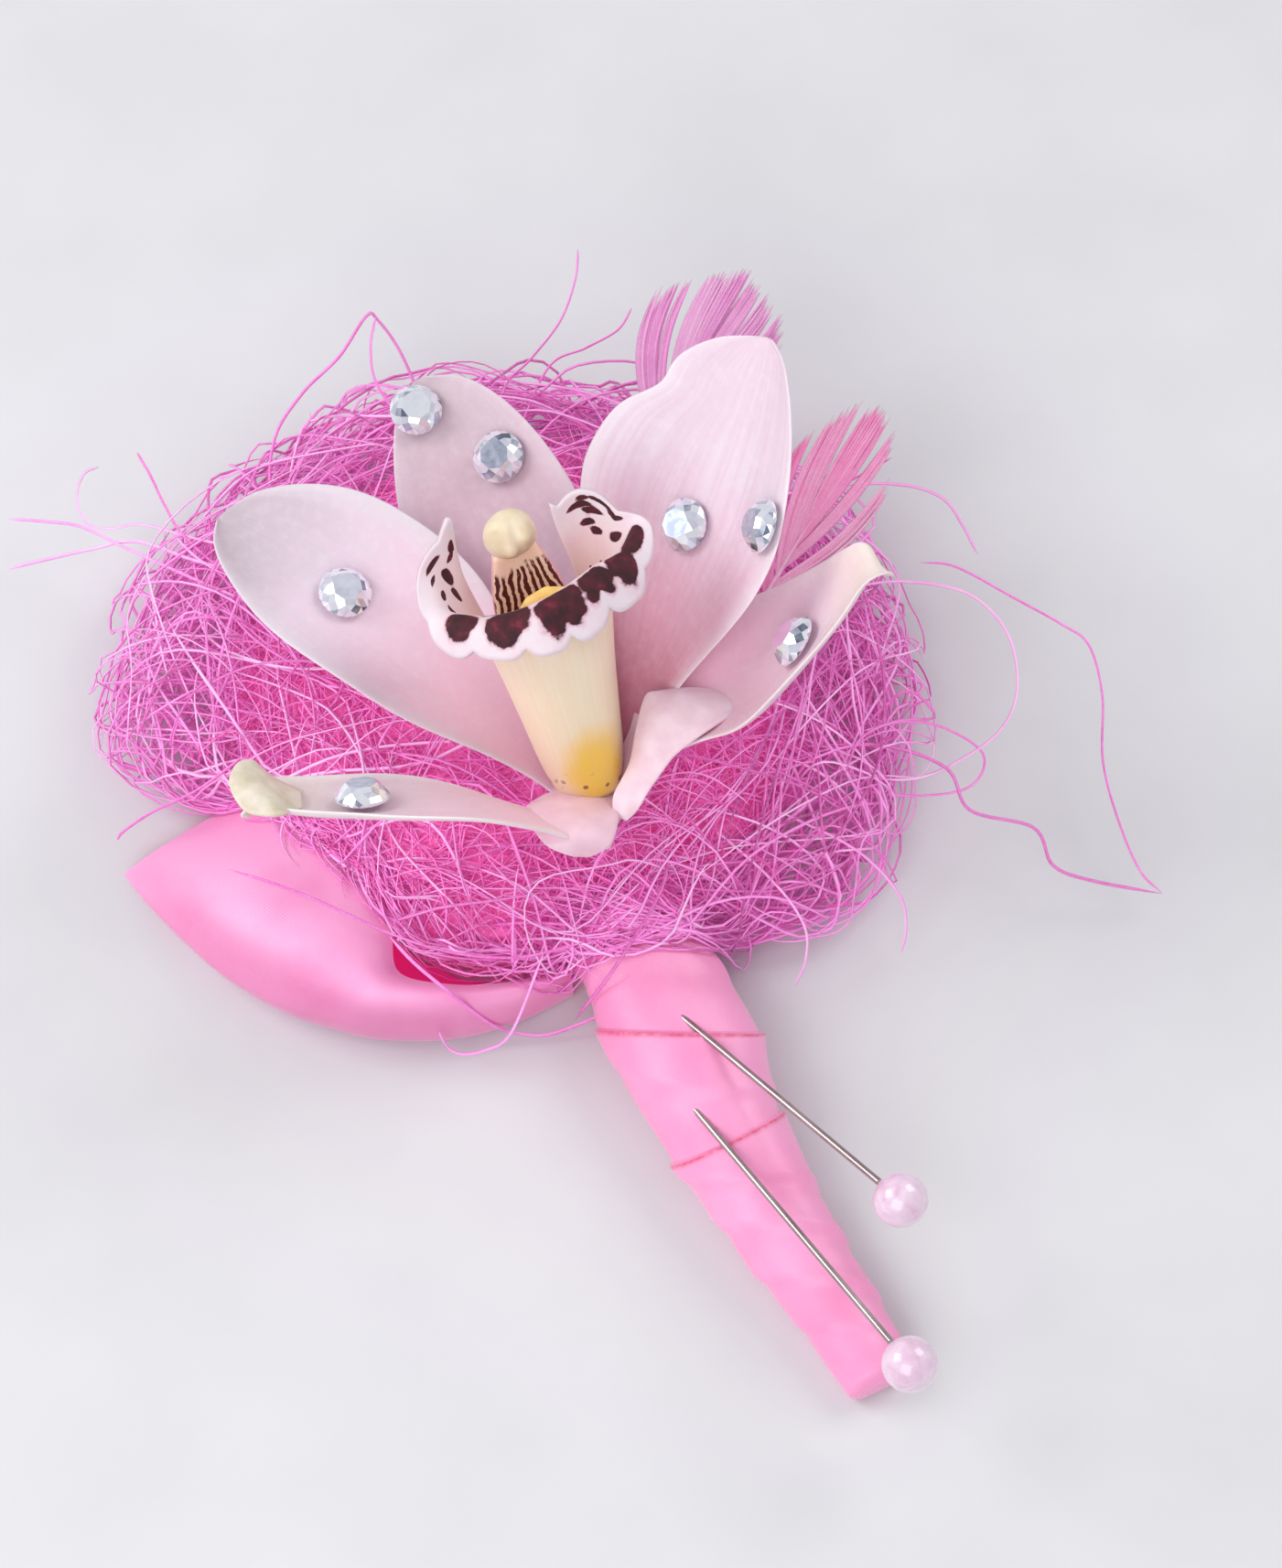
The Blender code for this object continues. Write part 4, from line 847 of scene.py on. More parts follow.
def satin_finish(name, light, shade, deep, rib_scale, rib_axis="Y", selvedge_and_shade=None, selvedge_and_shade_grain=0.55, painted_glow=0.0):
    """Satin ribbon: fine ribs across it and a soft sheen, with painted light and shade that deepen its
    colour in its hollows and lighten it on its rises.
    """
    # painted_glow makes the satin give off light in its deep tone, a painted glow
    material, tree, shader = finish(
        name, sheen_weight=0.35, sheen_roughness=0.35, anisotropic=0.5, specular_ior_level=0.55,
        emission_color=tone(*deep), emission_strength=painted_glow)
    cloth = place_on(tree, "UV")
    body = place_on(tree)
    ribs = bands(tree, cloth, rib_scale, distortion=0.35, detail=2, detail_scale=3, direction=rib_axis)
    weave = (1500, 60, 1) if rib_axis == "Y" else (60, 1500, 1)
    threads = noise(tree, stretched(tree, cloth, weave), 1.0, detail=2)
    drift = noise(tree, body, 90, detail=3)
    # Painted light and shade: the shade tone in the hollows of the broad bump, the light tone on its rises
    colour = ramp(tree, drift, [(0.25, shade), (0.6, light)])
    # Painted shade: the deep tone in the hollows between the ribs and between the threads
    colour = blend(tree, ramp(tree, ribs, [(0.2, 0.2), (0.8, 0.0)]), colour, deep)
    colour = blend(tree, ramp(tree, threads, [(0.35, 0.14), (0.6, 0.0)]), colour, deep)
    # A band of darker colour where the mesh's mark says so: a line along the wrap's seams, and painted
    # shade where the loop's ribbon turns under
    if selvedge_and_shade is not None:
        grain = ramp(tree, noise(tree, body, 1500), [(0.3, 1 - selvedge_and_shade_grain), (0.6, 1.0)])
        colour = blend(tree, times(tree, marked(tree, "selvedge_and_shade"), grain), colour, selvedge_and_shade)
    height = relief(tree, drift, 0.4, 0.35)
    height = relief(tree, ribs, 0.25, 0.03, under=height)
    height = relief(tree, threads, 0.3, 0.03, under=height)
    gloss = graded(tree, threads, 0.3, 0.44)
    feed(tree, shader, base_color=colour, roughness=gloss, normal=height)
    return material


def sisal_finish(name, stops):
    """Dyed plant fibre: each strand has its own depth of dye, uneven along its length."""
    # A painted glow: a faint emission keeps the hollows between the strands bright, standing in for light
    # that thin fibres pass on to each other
    material, tree, shader = finish(
        name, sheen_weight=0.15, specular_ior_level=0.5, emission_color=tone(0.96, 0.42, 0.84),
        emission_strength=0.08)
    body = place_on(tree)
    uneven = noise(tree, body, 160, detail=4, roughness=0.65)
    dye = unevenly(tree, marked(tree, "tint"), uneven, 0.7)
    colour = ramp(tree, dye, stops)
    grain = noise(tree, body, 2600, detail=2)
    colour = blend(tree, ramp(tree, grain, [(0.4, 0.0), (0.75, 0.25)]), colour, (0.98, 0.84, 0.93))
    feed(tree, shader, base_color=colour, normal=relief(tree, grain, 0.4, 0.08),
         roughness=graded(tree, grain, 0.38, 0.58))
    return material


def felt_finish():
    """The nest's matted middle: hot magenta, crossed by finer lighter and darker fibres, with a faint
    painted glow.
    """
    # A painted glow: a faint emission keeps the matted fibres bright
    material, tree, shader = finish("felted_sisal", sheen_weight=0.15, emission_strength=0.1,
                                    emission_color=tone(1.0, 0.33, 0.68))
    body = place_on(tree)
    crossed = []
    for turn, scale in ((20, (260, 2600, 300)), (-35, (2400, 240, 300)), (75, (300, 2900, 260))):
        crossed.append(noise(tree, stretched(tree, body, scale, (0, 0, turn)), 1.0, detail=3))
    mat = maths(tree, "MAXIMUM", maths(tree, "MAXIMUM", crossed[0], crossed[1]), crossed[2])
    depth = noise(tree, body, 130, detail=4)
    colour = ramp(tree, depth, [(0.3, (0.92, 0.26, 0.62)), (0.65, (1.0, 0.42, 0.76))])
    colour = blend(tree, ramp(tree, mat, [(0.5, 0.0), (0.68, 0.8)]), colour, (1.0, 0.62, 0.88))
    colour = blend(tree, ramp(tree, crossed[0], [(0.3, 0.6), (0.42, 0.0)]), colour, (0.45, 0.08, 0.30))
    height = relief(tree, depth, 0.6, 1.2)
    height = relief(tree, mat, 0.8, 0.3, under=height)
    feed(tree, shader, base_color=colour, normal=height, roughness=graded(tree, mat, 0.75, 0.55))
    return material


def feather_finish(name, root, body_tone, light):
    """Dyed feather: fine barbs, paler and thinner towards their frayed ends."""
    material, tree, shader = finish(name, sheen_weight=0.4, sheen_roughness=0.4, subsurface_weight=0.25,
                                    subsurface_radius=(1.0, 0.5, 0.6), subsurface_scale=0.6 * MM)
    body = place_on(tree)
    streaks = noise(tree, body, 420, detail=4, roughness=0.6)
    tinted = unevenly(tree, marked(tree, "tint"), streaks, 0.5)
    colour = ramp(tree, tinted, [(0.0, root), (0.45, body_tone), (1.0, light)])
    barbules = noise(tree, body, 5200, detail=2)
    colour = blend(tree, ramp(tree, barbules, [(0.4, 0.25), (0.6, 0.0)]), colour, root)
    feed(tree, shader, base_color=colour, normal=relief(tree, barbules, 0.5, 0.08),
         roughness=graded(tree, barbules, 0.62, 0.8))
    return material


def stone_finish():
    """Foil-backed rhinestone with a mirror gloss: each facet's colour is a painted reflection, bright on
    most and dark on some.
    """
    material, tree, shader = finish(
        "rhinestone", metallic=0.6, coat_weight=1.0, coat_roughness=0.02, ior=1.6)
    body = place_on(tree)
    cloud = noise(tree, body, 900, detail=3)
    level = unevenly(tree, marked(tree, "facet"), cloud, 0.6)
    colour = ramp(tree, level, [
        (0.0, (0.36, 0.40, 0.48)), (0.25, (0.66, 0.69, 0.77)), (0.55, (0.88, 0.89, 0.95)),
        (1.0, (0.97, 0.98, 1.0))])
    feed(tree, shader, base_color=colour, roughness=graded(tree, cloud, 0.04, 0.14),
         normal=relief(tree, cloud, 0.08, 0.05))
    return material


def pearl_finish():
    """Pearl lacquer over plastic: pinkish white with a clear, glossy skin."""
    material, tree, shader = finish(
        "pearl", coat_weight=0.9, coat_roughness=0.08, subsurface_weight=0.2,
        subsurface_radius=(1.0, 0.8, 0.8), subsurface_scale=0.6 * MM, sheen_weight=0.3)
    body = place_on(tree)
    nacre = noise(tree, body, 420, detail=5, distortion=0.8)
    colour = ramp(tree, nacre, [
        (0.3, (0.85, 0.70, 0.79)), (0.5, (0.89, 0.77, 0.86)), (0.7, (0.92, 0.84, 0.89))])
    feed(tree, shader, base_color=colour, roughness=graded(tree, nacre, 0.24, 0.34),
         normal=relief(tree, noise(tree, body, 2500, detail=2), 0.08, 0.03))
    return material


def steel_finish():
    """Drawn pin wire: bright, with fine lengthwise scratches."""
    material, tree, shader = finish("pin_steel", metallic=1.0)
    body = place_on(tree)
    scratches = noise(tree, stretched(tree, body, (900, 60, 900), (0, 0, 12)), 1.0, detail=3)
    colour = graded(tree, scratches, (0.66, 0.58, 0.58), (0.76, 0.70, 0.70))
    feed(tree, shader, base_color=colour, roughness=graded(tree, scratches, 0.18, 0.34),
         normal=relief(tree, scratches, 0.08, 0.02))
    return material


def tape_finish():
    """Florist's tape: stretchy green crepe wound in overlapping turns."""
    material, tree, shader = finish("stem_tape", sheen_weight=0.2)
    body = place_on(tree)
    slanted = stretched(tree, body, (1, 1, 1), (25, 0, 0))
    turns = bands(tree, slanted, 42, distortion=1.2, direction="Y", form="SAW")
    crepe = noise(tree, stretched(tree, body, (900, 2600, 900)), 1.0, detail=3)
    colour = graded(tree, crepe, (0.22, 0.36, 0.16), (0.42, 0.58, 0.31))
    # Painted shade: a dark line at the foot of each turn, under the edge of the turn that overlaps it
    colour = blend(tree, ramp(tree, turns, [(0.0, 0.45), (0.12, 0.0)]), colour, (0.13, 0.22, 0.10))
    height = relief(tree, turns, 0.6, 0.25)
    height = relief(tree, crepe, 0.5, 0.08, under=height)
    feed(tree, shader, base_color=colour, normal=height, roughness=graded(tree, crepe, 0.6, 0.78))
    return material


# The bloom

def tepal_lattice(name, rows=TEPAL_ROWS, columns=TEPAL_COLUMNS):
    """A tepal's middle surface as a lattice of points."""
    shape = {"roll": [0, 0], "nick": (1, 0.5, 0.1, 0.0), "hook": 0, "forward": 0, **TEPALS[name]}
    steps = rows * 8
    u = np.linspace(0, 1, steps + 1)
    angle = np.radians(shape["turn"] + ease(shape["sway"], u))[:, None]
    tilt = np.radians(ease(shape["lean"], u) + shape["hook"] * smoothstep((u - 0.92) / 0.08))[:, None]
    twist = np.radians(ease(shape["roll"], u))[:, None]
    out = DORSAL * np.cos(angle) + SIDE * np.sin(angle)
    around = SIDE * np.cos(angle) - DORSAL * np.sin(angle)
    advance = (FACING * np.cos(tilt) + out * np.sin(tilt)) * shape["length"] / steps
    advance[0] = out[0] * TEPAL_START
    inward = FACING * np.sin(tilt) - out * np.cos(tilt)
    midrib = (HEART + FACING * shape["rise"] + np.cumsum(advance, axis=0))[::8]
    midrib = midrib + FACING * shape["forward"] * (1 - smoothstep(u[::8, None] / 0.55))
    across = (around * np.cos(twist) + inward * np.sin(twist))[::8, None]
    hollow = (inward * np.cos(twist) - around * np.sin(twist))[::8, None]
    u = u[::8]
    w = np.linspace(-1, 1, columns + 1)
    claw, peak, blunt = shape["claw"], shape["peak"], shape["blunt"]
    past = np.clip((u - peak) / (1 - peak), 0, 1)
    half = np.where(u < peak, claw + (1 - claw) * smoothstep(u / peak) ** 0.8,
                    np.maximum(1 - past ** blunt, 0.0) ** (1 / 1.9) * 0.97 + 0.03) * shape["width"] / 2
    bends = [np.radians(ease(cup, u)) for cup in shape["cup"]]
    bend = np.where(w > 0, bends[1][:, None], bends[0][:, None])
    bend = np.where(np.abs(bend) < 1e-6, 1e-6, bend)
    shares = [ease(share, u) for share in shape["share"]]
    side, at, breadth, depth = shape["nick"]
    nick = 1 - depth * np.exp(-((u[:, None] - at) / breadth) ** 2) * (w * side > 0)
    reach = half[:, None] * nick * np.where(w > 0, shares[1][:, None], shares[0][:, None]) / bend
    sideways = np.sign(w) * reach * np.sin(np.abs(w) * bend)
    rise = reach * (1 - np.cos(w * bend))
    ripple = np.sin(2 * math.pi * shape["waves"] * u[:, None] + 1.3 * w)
    rise = rise + shape["ruffle"] * np.abs(w) ** 3 * ripple * smoothstep(u / 0.3)[:, None]
    return midrib[:, None] + across * sideways[..., None] + hollow * rise[..., None]


def make_tepal(name):
    """A sepal or petal of the bloom, thinner toward its margins and its tip."""
    points = tepal_lattice(name)
    # The root runs on to the bloom's heart, under the lip
    heart = HEART + FACING * TEPALS[name]["rise"] - points[0].mean(axis=0)
    points = np.concatenate([[points[0] + heart * share for share in (0.8, 0.4)], points])
    piece = laid_grid(name + "_flesh", points)
    thinning = piece.vertex_groups.new(name="flesh")
    across = np.abs(np.linspace(-1, 1, TEPAL_COLUMNS + 1))
    onward = np.linspace(0, 1, len(points))
    fullness = (1 - 0.65 * across ** 4)[None] * (1 - 0.6 * onward ** 10)[:, None]
    for vertex, weight in enumerate(fullness.ravel()):
        thinning.add([vertex], float(weight), "REPLACE")
    finish_with(piece, "SOLIDIFY", thickness=TEPAL_THICKNESS * MM, offset=0.0, vertex_group="flesh",
                thickness_vertex_group=0.1)
    finish_with(piece, "SUBSURF", levels=1, render_levels=1)
    smooth(piece)
    wear(piece, petal_finish(name + "_flesh", *TEPAL_TONES[name]))
    return piece


def make_fold(name):
    """A fold of flesh laid between two edges and swollen toward the viewer."""
    rows, swell, low, high = FOLDS[name]
    places = np.linspace(0, 1, FOLD_ROWS + 1)
    left = ease([row[0] for row in rows], places)
    right = ease([row[1] for row in rows], places)
    over = np.linspace(0, 1, FOLD_COLUMNS + 1)[None, :, None]
    belly = swell * np.sin(np.pi * over) * np.sin(np.pi * (0.15 + 0.85 * places))[:, None, None]
    piece = laid_grid(name, left[:, None] * (1 - over) + right[:, None] * over + FACING * belly)
    finish_with(piece, "SOLIDIFY", thickness=FOLD_THICKNESS * MM, offset=0.0)
    finish_with(piece, "SUBSURF", levels=1, render_levels=1)
    smooth(piece)
    wear(piece, waxy_finish(name + "_flesh", low, high))
    return piece


def lip_frame():
    """The lip's base, its axis, and the directions to its front and its side."""
    lean = math.radians(LIP_LEAN)
    upright = FACING * math.cos(lean) + DORSAL * math.sin(lean)
    axis = unit(upright + SIDE * math.tan(math.radians(LIP_SIDE_LEAN)))
    front = FACING * math.sin(lean) - DORSAL * math.cos(lean)
    side = np.cross(axis, front)
    side = side * math.copysign(1.0, np.dot(side, SIDE))
    return HEART + FACING * LIP_BASE_RISE - DORSAL * LIP_BASE_SHIFT, axis, front, side


def lip_lattice():
    """The lip's middle surface, its angles round the axis and its places up the profile."""
    base, axis, front, side = lip_frame()
    angles = np.linspace(-LIP_SPAN, LIP_SPAN, LIP_COLUMNS + 1)
    v = np.linspace(0, 1, LIP_ROWS + 1)
    profiles = np.array([LIP_WALL + edge for edge in LIP_EDGES.values()], float)
    kept = list(LIP_EDGES)
    among = np.interp(angles, kept, np.linspace(0, 1, len(kept)))
    controls = np.stack([ease(profiles[:, k], among) for k in range(profiles.shape[1])], axis=1)
    turn = np.radians(angles)
    notch = 1 - np.abs(np.cos(LIP_SCALLOPS * turn + 0.6 + 0.35 * np.sin(3.1 * turn)))
    points = np.zeros((LIP_ROWS + 1, LIP_COLUMNS + 1, 3))
    for j in range(LIP_COLUMNS + 1):
        reach = v * (1 - LIP_SCALLOP_DEPTH * notch[j] ** 1.5 * smoothstep((v - 0.75) / 0.25))
        radius, height = ease(controls[j], reach).T
        flutter = 0.2 * math.cos(LIP_SCALLOPS * turn[j] * 2 + 1.0) * smoothstep((v - 0.72) / 0.28)
        out = front * math.cos(turn[j]) + side * math.sin(turn[j])
        points[:, j] = base + np.outer(height + flutter, axis) + np.outer(radius, out)
    return points, angles, v


def make_lip():
    """The lip, cream outside and blotched inside."""
    points, angles, v = lip_lattice()
    piece = laid_grid("lip_flesh", points)
    blotch = np.full(points.shape[:2], -1.0)
    for angle, level, half_angle, half_level in LIP_BLOTCHES:
        aside = np.abs((angles[None] - angle) / half_angle) ** BLOTCH_POWER
        above = np.abs((v[:, None] - level) / half_level) ** BLOTCH_POWER
        blotch = np.maximum(blotch, 1 - 0.75 * (aside + above) ** (1 / BLOTCH_POWER))
    mark(piece, "blotch", blotch)
    wear(piece, lip_outside_finish(), lip_inside_finish())
    finish_with(piece, "SOLIDIFY", thickness=LIP_THICKNESS * MM, offset=0.0, use_even_offset=True,
                material_offset=1)
    smooth(piece)
    return piece


def make_callus():
    """The yellow ridge inside the lip, in two keels side by side."""
    base, axis, front, side = lip_frame()
    angles = 2 * math.pi * np.arange(CALLUS_SIDES) / CALLUS_SIDES
    keels = 1 + 0.22 * np.cos(2 * angles)
    rings = []
    for level in np.linspace(0, 1, CALLUS_RINGS):
        swell = (1 - (2 * level - 1) ** 6) ** 0.5 if 0 < level < 1 else 0.05
        place = base + axis * (CALLUS_FOOT + CALLUS_LENGTH * level)
        place = place + front * (CALLUS_FORWARD - 0.3 * level) + side * (0.5 * level)
        wide = (CALLUS_HALF_WIDTH + 0.6 * level) * swell * keels
        rings.append(oval(place, angles, wide, side, CALLUS_HALF_DEPTH * swell, front))
    piece = laid_tube("lip_callus", rings)
    smooth(piece)
    wear(piece, waxy_finish("callus_flesh", (0.90, 0.70, 0.36), (0.97, 0.86, 0.52)))
    return piece


def column_path(count):
    """Places along the column from 0 to 1, its points there and the way that it points."""
    u = np.linspace(0, 1, count)
    lean = np.radians(ease(COLUMN_LEAN, u))[:, None]
    aside = SIDE * math.tan(math.radians(COLUMN_SIDE_LEAN))
    forward = unit(FACING * np.cos(lean) + DORSAL * np.sin(lean) + aside)
    steps = forward * COLUMN_LENGTH / (count - 1)
    steps[0] = 0
    return u, HEART + FACING * COLUMN_RISE + DORSAL * COLUMN_OFFSET + np.cumsum(steps, axis=0), forward


def column_back(forward):
    """The direction square to the column, toward the dorsal sepal."""
    back = unit(np.cross(forward, SIDE))
    return back * math.copysign(1.0, np.dot(back, DORSAL))


def make_column():
    """The column, hollowed on the side that faces the lip."""
    u, path, forward = column_path(COLUMN_RINGS)
    angles = 2 * math.pi * np.arange(COLUMN_SIDES) / COLUMN_SIDES
    rings = []
    for k in range(COLUMN_RINGS):
        wide, deep = ease(COLUMN_HALF_WIDTH, u[k]), ease(COLUMN_HALF_DEPTH, u[k])
        hollow = np.where(np.sin(angles) < 0, 0.45 - 0.3 * np.abs(np.sin(angles)) ** 3, 1.0)
        rings.append(oval(path[k], angles, wide, SIDE, deep * hollow, column_back(forward[k])))
    front = np.broadcast_to(np.clip(-np.sin(angles), 0, 1) ** 0.5, (COLUMN_RINGS, COLUMN_SIDES))
    over = np.broadcast_to(np.cos(angles), front.shape)
    high = np.broadcast_to(u[:, None], front.shape)
    piece = laid_tube("column_flesh", rings, front=front, over=over, high=high)
    smooth(piece)
    wear(piece, column_finish())
    return piece


def make_anther():
    """The column's cap: a pale dome with two small swellings low on its front."""
    _, path, forward = column_path(COLUMN_RINGS)
    tip, forward = path[-1], forward[-1]
    back = column_back(forward)
    centre = tip + forward * (ANTHER_RADII[2] - 0.5) - back * 0.7
    piece, place = unit_sphere("anther_dome", 48, 28)
    place = unit(place)
    swell = np.ones(len(place))
    for direction, size, spread in ANTHER_LUMPS:
        swell += size * np.exp(-((place - unit(direction)) ** 2).sum(axis=1) / spread ** 2)
    swell -= 0.1 * np.exp(-((place[:, 0] - 0.18) / 0.12) ** 2) * np.clip(-place[:, 1], 0, 1)
    place = place * swell[:, None] * ANTHER_RADII
    lay(piece, centre + place[:, :1] * SIDE + place[:, 1:2] * back + place[:, 2:] * forward)
    close_up(piece)
    smooth(piece)
    wear(piece, waxy_finish("anther_flesh", (0.86, 0.79, 0.66), (0.92, 0.87, 0.77)))
    return piece


def make_stone(number, tepal, u, w):
    """A faceted stone on its tepal, each facet with a painted glint of its own."""
    rows, columns = STONE_LATTICE
    points = tepal_lattice(tepal, rows, columns)
    i, j = round(u * rows), round((w + 1) * columns / 2)
    normal = lattice_normals(points)[i, j]
    if np.dot(normal, HEART + FACING * 60 - points[i, j]) < 0:
        normal = -normal
    side = unit(np.cross(normal, FACING))
    back = np.cross(normal, side)
    near = points.reshape(-1, 3)
    near = near[np.linalg.norm(near - points[i, j], axis=1) < 1.25 * STONE_RADIUS]
    lift = max((near - points[i, j]) @ normal) + STONE_LIFT + CLEARANCE
    seat = points[i, j] + normal * lift
    corners = []
    for k, (radius, height, count) in enumerate(STONE_RINGS):
        turn = 2 * math.pi * (np.arange(count) + 0.5 * (k % 2)) / count
        corners.append(oval(seat + normal * height, turn, radius, side, radius, back))
    corners = np.concatenate(corners)
    name = f"rhinestone_{number}_cut"
    piece = fresh(bpy.ops.mesh.primitive_circle_add, name, vertices=len(corners), radius=1.0)
    lay(piece, corners)
    bpy.ops.object.mode_set(mode="EDIT")
    bpy.ops.mesh.select_all(action="SELECT")
    bpy.ops.mesh.delete(type="EDGE_FACE")
    bpy.ops.mesh.select_all(action="SELECT")
    bpy.ops.mesh.convex_hull()
    bpy.ops.mesh.dissolve_limited(angle_limit=math.radians(1.5))
    bpy.ops.mesh.normals_make_consistent(inside=False)
    bpy.ops.object.mode_set(mode="OBJECT")
    rng = np.random.default_rng(STONE_SEED + number)
    painted_glints = rng.choice(list(STONE_PAINTED_GLINTS), len(piece.data.polygons), p=list(STONE_PAINTED_GLINTS.values()))
    facet = piece.data.attributes.new("facet", "FLOAT", "FACE")
    facet.data.foreach_set("value", painted_glints.astype(np.float32))
    return piece


def make_pedicel():
    """The bloom's own stalk, ribbed lengthwise and swelling under the tepals."""
    foot = np.array(PEDICEL_FOOT) + (0.0, 0.0, 1.3 * CLEARANCE)
    path = np.array([foot, foot + (0.0, 0.0, 2.0), foot + (0.0, -1.8, 5.5)]
                    + [HEART + FACING * rise for rise in (-1.2, 0.4, 1.7)])
    u = np.linspace(0, 1, 30)
    radii = ease(PEDICEL_RADII, u)
    rings = np.array(tube_rings(ease(path, u), radii, radii, (1, 0, 0), PEDICEL_SIDES))
    middles = rings.mean(axis=1, keepdims=True)
    turns = 2 * math.pi * np.arange(PEDICEL_SIDES) / PEDICEL_SIDES
    ribs = 1 - 0.05 * np.cos(PEDICEL_RIBS * turns) ** 2
    piece = laid_tube("pedicel_flesh", middles + (rings - middles) * ribs[None, :, None])
    smooth(piece)
    wear(piece, stalk_finish())
    return piece


# The ribbon

def wrap_lattice():
    """The wrapped stem's outer face: a sleeve that steps out at each seam, creased on the slant."""
    stations = np.array(WRAP_STATIONS)[::-1]
    slants = np.array(WRAP_SLANTS)[::-1]
    y = np.linspace(WRAP_STATIONS[0][0], WRAP_STATIONS[-1][0], WRAP_ROWS)
    for seam in WRAP_SEAMS:
        y = np.sort(np.concatenate([y, seam + np.array(WRAP_SEAM_ROWS)]))[::-1]

    def along(column, table):
        dense = np.linspace(y[-1] - 4, y[0] + 4, 400)
        values = np.pad(np.interp(dense, table[:, 0], table[:, column]), 7, mode="edge")
        return np.interp(y, dense, smoothed(values))[:, None]

    centre, wide, high = (along(k, stations) for k in (1, 2, 3))
    slant_x, slant_z = (along(k, slants) for k in (1, 2))
    angles = 2 * math.pi * (np.arange(WRAP_SIDES + 1) + 0.5) / WRAP_SIDES
    level = high - FLAT_DEPTH
    step = sum(smoothstep((seam - y) / WRAP_SEAM_WIDTH) for seam in WRAP_SEAMS)[:, None] * WRAP_OVERLAP
    # A turn's ribbon lies a little proud just past its seam and settles further on
    proud = sum(np.exp(-np.clip(seam - y, 0, None) / 2.5) * (y < seam) for seam in WRAP_SEAMS)
    step = step + 0.12 * proud[:, None]
    fold = np.zeros((len(y), WRAP_SIDES + 1))
    around = np.angle(np.exp(1j * (angles - math.pi / 2)))[None]
    for crease, slant, breadth, depth in WRAP_CREASES:
        ridge = y[:, None] - crease - slant * around * wide / 2
        fade = smoothstep((2.6 - np.abs(around)) / 0.8)
        valley = np.exp(-((ridge + 1.7 * breadth) / breadth) ** 2)
        fold += depth * fade * (np.exp(-(ridge / breadth) ** 2) - 0.7 * valley)
    out = step + fold
    x = np.cos(angles) * (wide + out)
    z = np.maximum(np.sin(angles) * (high + out), -level)
    # A darker, redder line just past each seam, on the edge of the turn that lies over: partly the ribbon's
    # own selvedge, partly painted shade at the overlap
    selvedge_and_shade = sum(np.exp(-((y - seam + 0.45) / 0.28) ** 2) for seam in WRAP_SEAMS)[:, None]
    return (np.stack([centre + x, y[:, None] + slant_x * x + slant_z * z, level + z], axis=2),
            np.broadcast_to(selvedge_and_shade, x.shape))


def make_wrap():
    """The ribbon wound over the stem, with its far end folded shut."""
    points, selvedge_and_shade = wrap_lattice()
    end = points[-1]
    middle = end.mean(axis=0)
    folded = []
    for reach, share in WRAP_END:
        folded.append(middle + (end - middle) * (share, 1.0, max(share - 0.1, 0.0)) - (0, reach, 0))
    points = np.concatenate([points, folded])
    piece = laid_grid("ribbon_wrap_satin", points)
    mark(piece, "selvedge_and_shade", np.concatenate([selvedge_and_shade, 0 * points[-len(folded):, :, 0]]))
    close_up(piece)
    finish_with(piece, "SOLIDIFY", thickness=WRAP_THICKNESS * MM, offset=-1.0)
    smooth(piece, 60)
    wear(piece, satin_finish("satin_wrap", (0.99, 0.66, 0.83), (0.96, 0.56, 0.75), (0.88, 0.44, 0.66),
                             105, selvedge_and_shade=(0.86, 0.30, 0.46)))
    return piece


def loop_lattice():
    """The loop's ribbon: rows along the loop, and columns over its top and round to the floor."""
    stations = np.array([(*outer, *inner, height, floor) for outer, inner, height, floor in LOOP_STATIONS])
    points = np.zeros((LOOP_ROWS + 1, LOOP_COLUMNS + 1, 3))
    for i in range(LOOP_ROWS + 1):
        x0, y0, x1, y1, height, floor = ease(stations, i / LOOP_ROWS)
        outer, inward = np.array((x0, y0)), np.array((x1 - x0, y1 - y0))
        width = np.linalg.norm(inward)
        controls = []
        for k, (share, level) in enumerate(LOOP_SECTION):
            reach = share * (width if k < LOOP_TOP_POINTS else floor)
            z = LOOP_FLOOR + 0.4 + level * (height - LOOP_FLOOR - 0.8)
            controls.append((*(outer + inward / width * reach), z))
        points[i] = ease(controls, np.linspace(0, 1, LOOP_COLUMNS + 1))
    return points


def make_loop():
    """The puffed ribbon loop: its inner face painted a deeper pink for the shade inside the loop, with a
    painted glow.
    """
    piece = laid_grid("ribbon_loop_satin", loop_lattice())
    # Painted shade: the ribbon is darkened where it turns under, along the loop's outer side
    across = np.linspace(0, 1, LOOP_COLUMNS + 1)
    along = np.linspace(0, 1, LOOP_ROWS + 1)[:, None]
    turned = smoothstep((across - 0.27) / 0.14) * (1 - smoothstep((across - 0.6) / 0.1))
    mark(piece, "selvedge_and_shade", 0.55 * turned * np.sin(math.pi * along) ** 0.5)
    # The inner face: a deeper crimson that stands for the shade inside the loop, and a painted glow of its
    # deep tone
    inside = satin_finish("satin_inside_shade_glow", (0.92, 0.30, 0.60), (0.82, 0.18, 0.48), (0.84, 0.15, 0.50),
                          48, "X", painted_glow=0.3)
    outside = satin_finish("satin_loop", (0.99, 0.68, 0.86), (0.96, 0.57, 0.78), (0.90, 0.47, 0.69),
                           48, "X", selvedge_and_shade=(0.78, 0.36, 0.56), selvedge_and_shade_grain=0.06)
    wear(piece, inside, outside)
    finish_with(piece, "SOLIDIFY", thickness=LOOP_THICKNESS * MM, offset=0.0, material_offset=1)
    smooth(piece, 60)
    return piece


# The pins

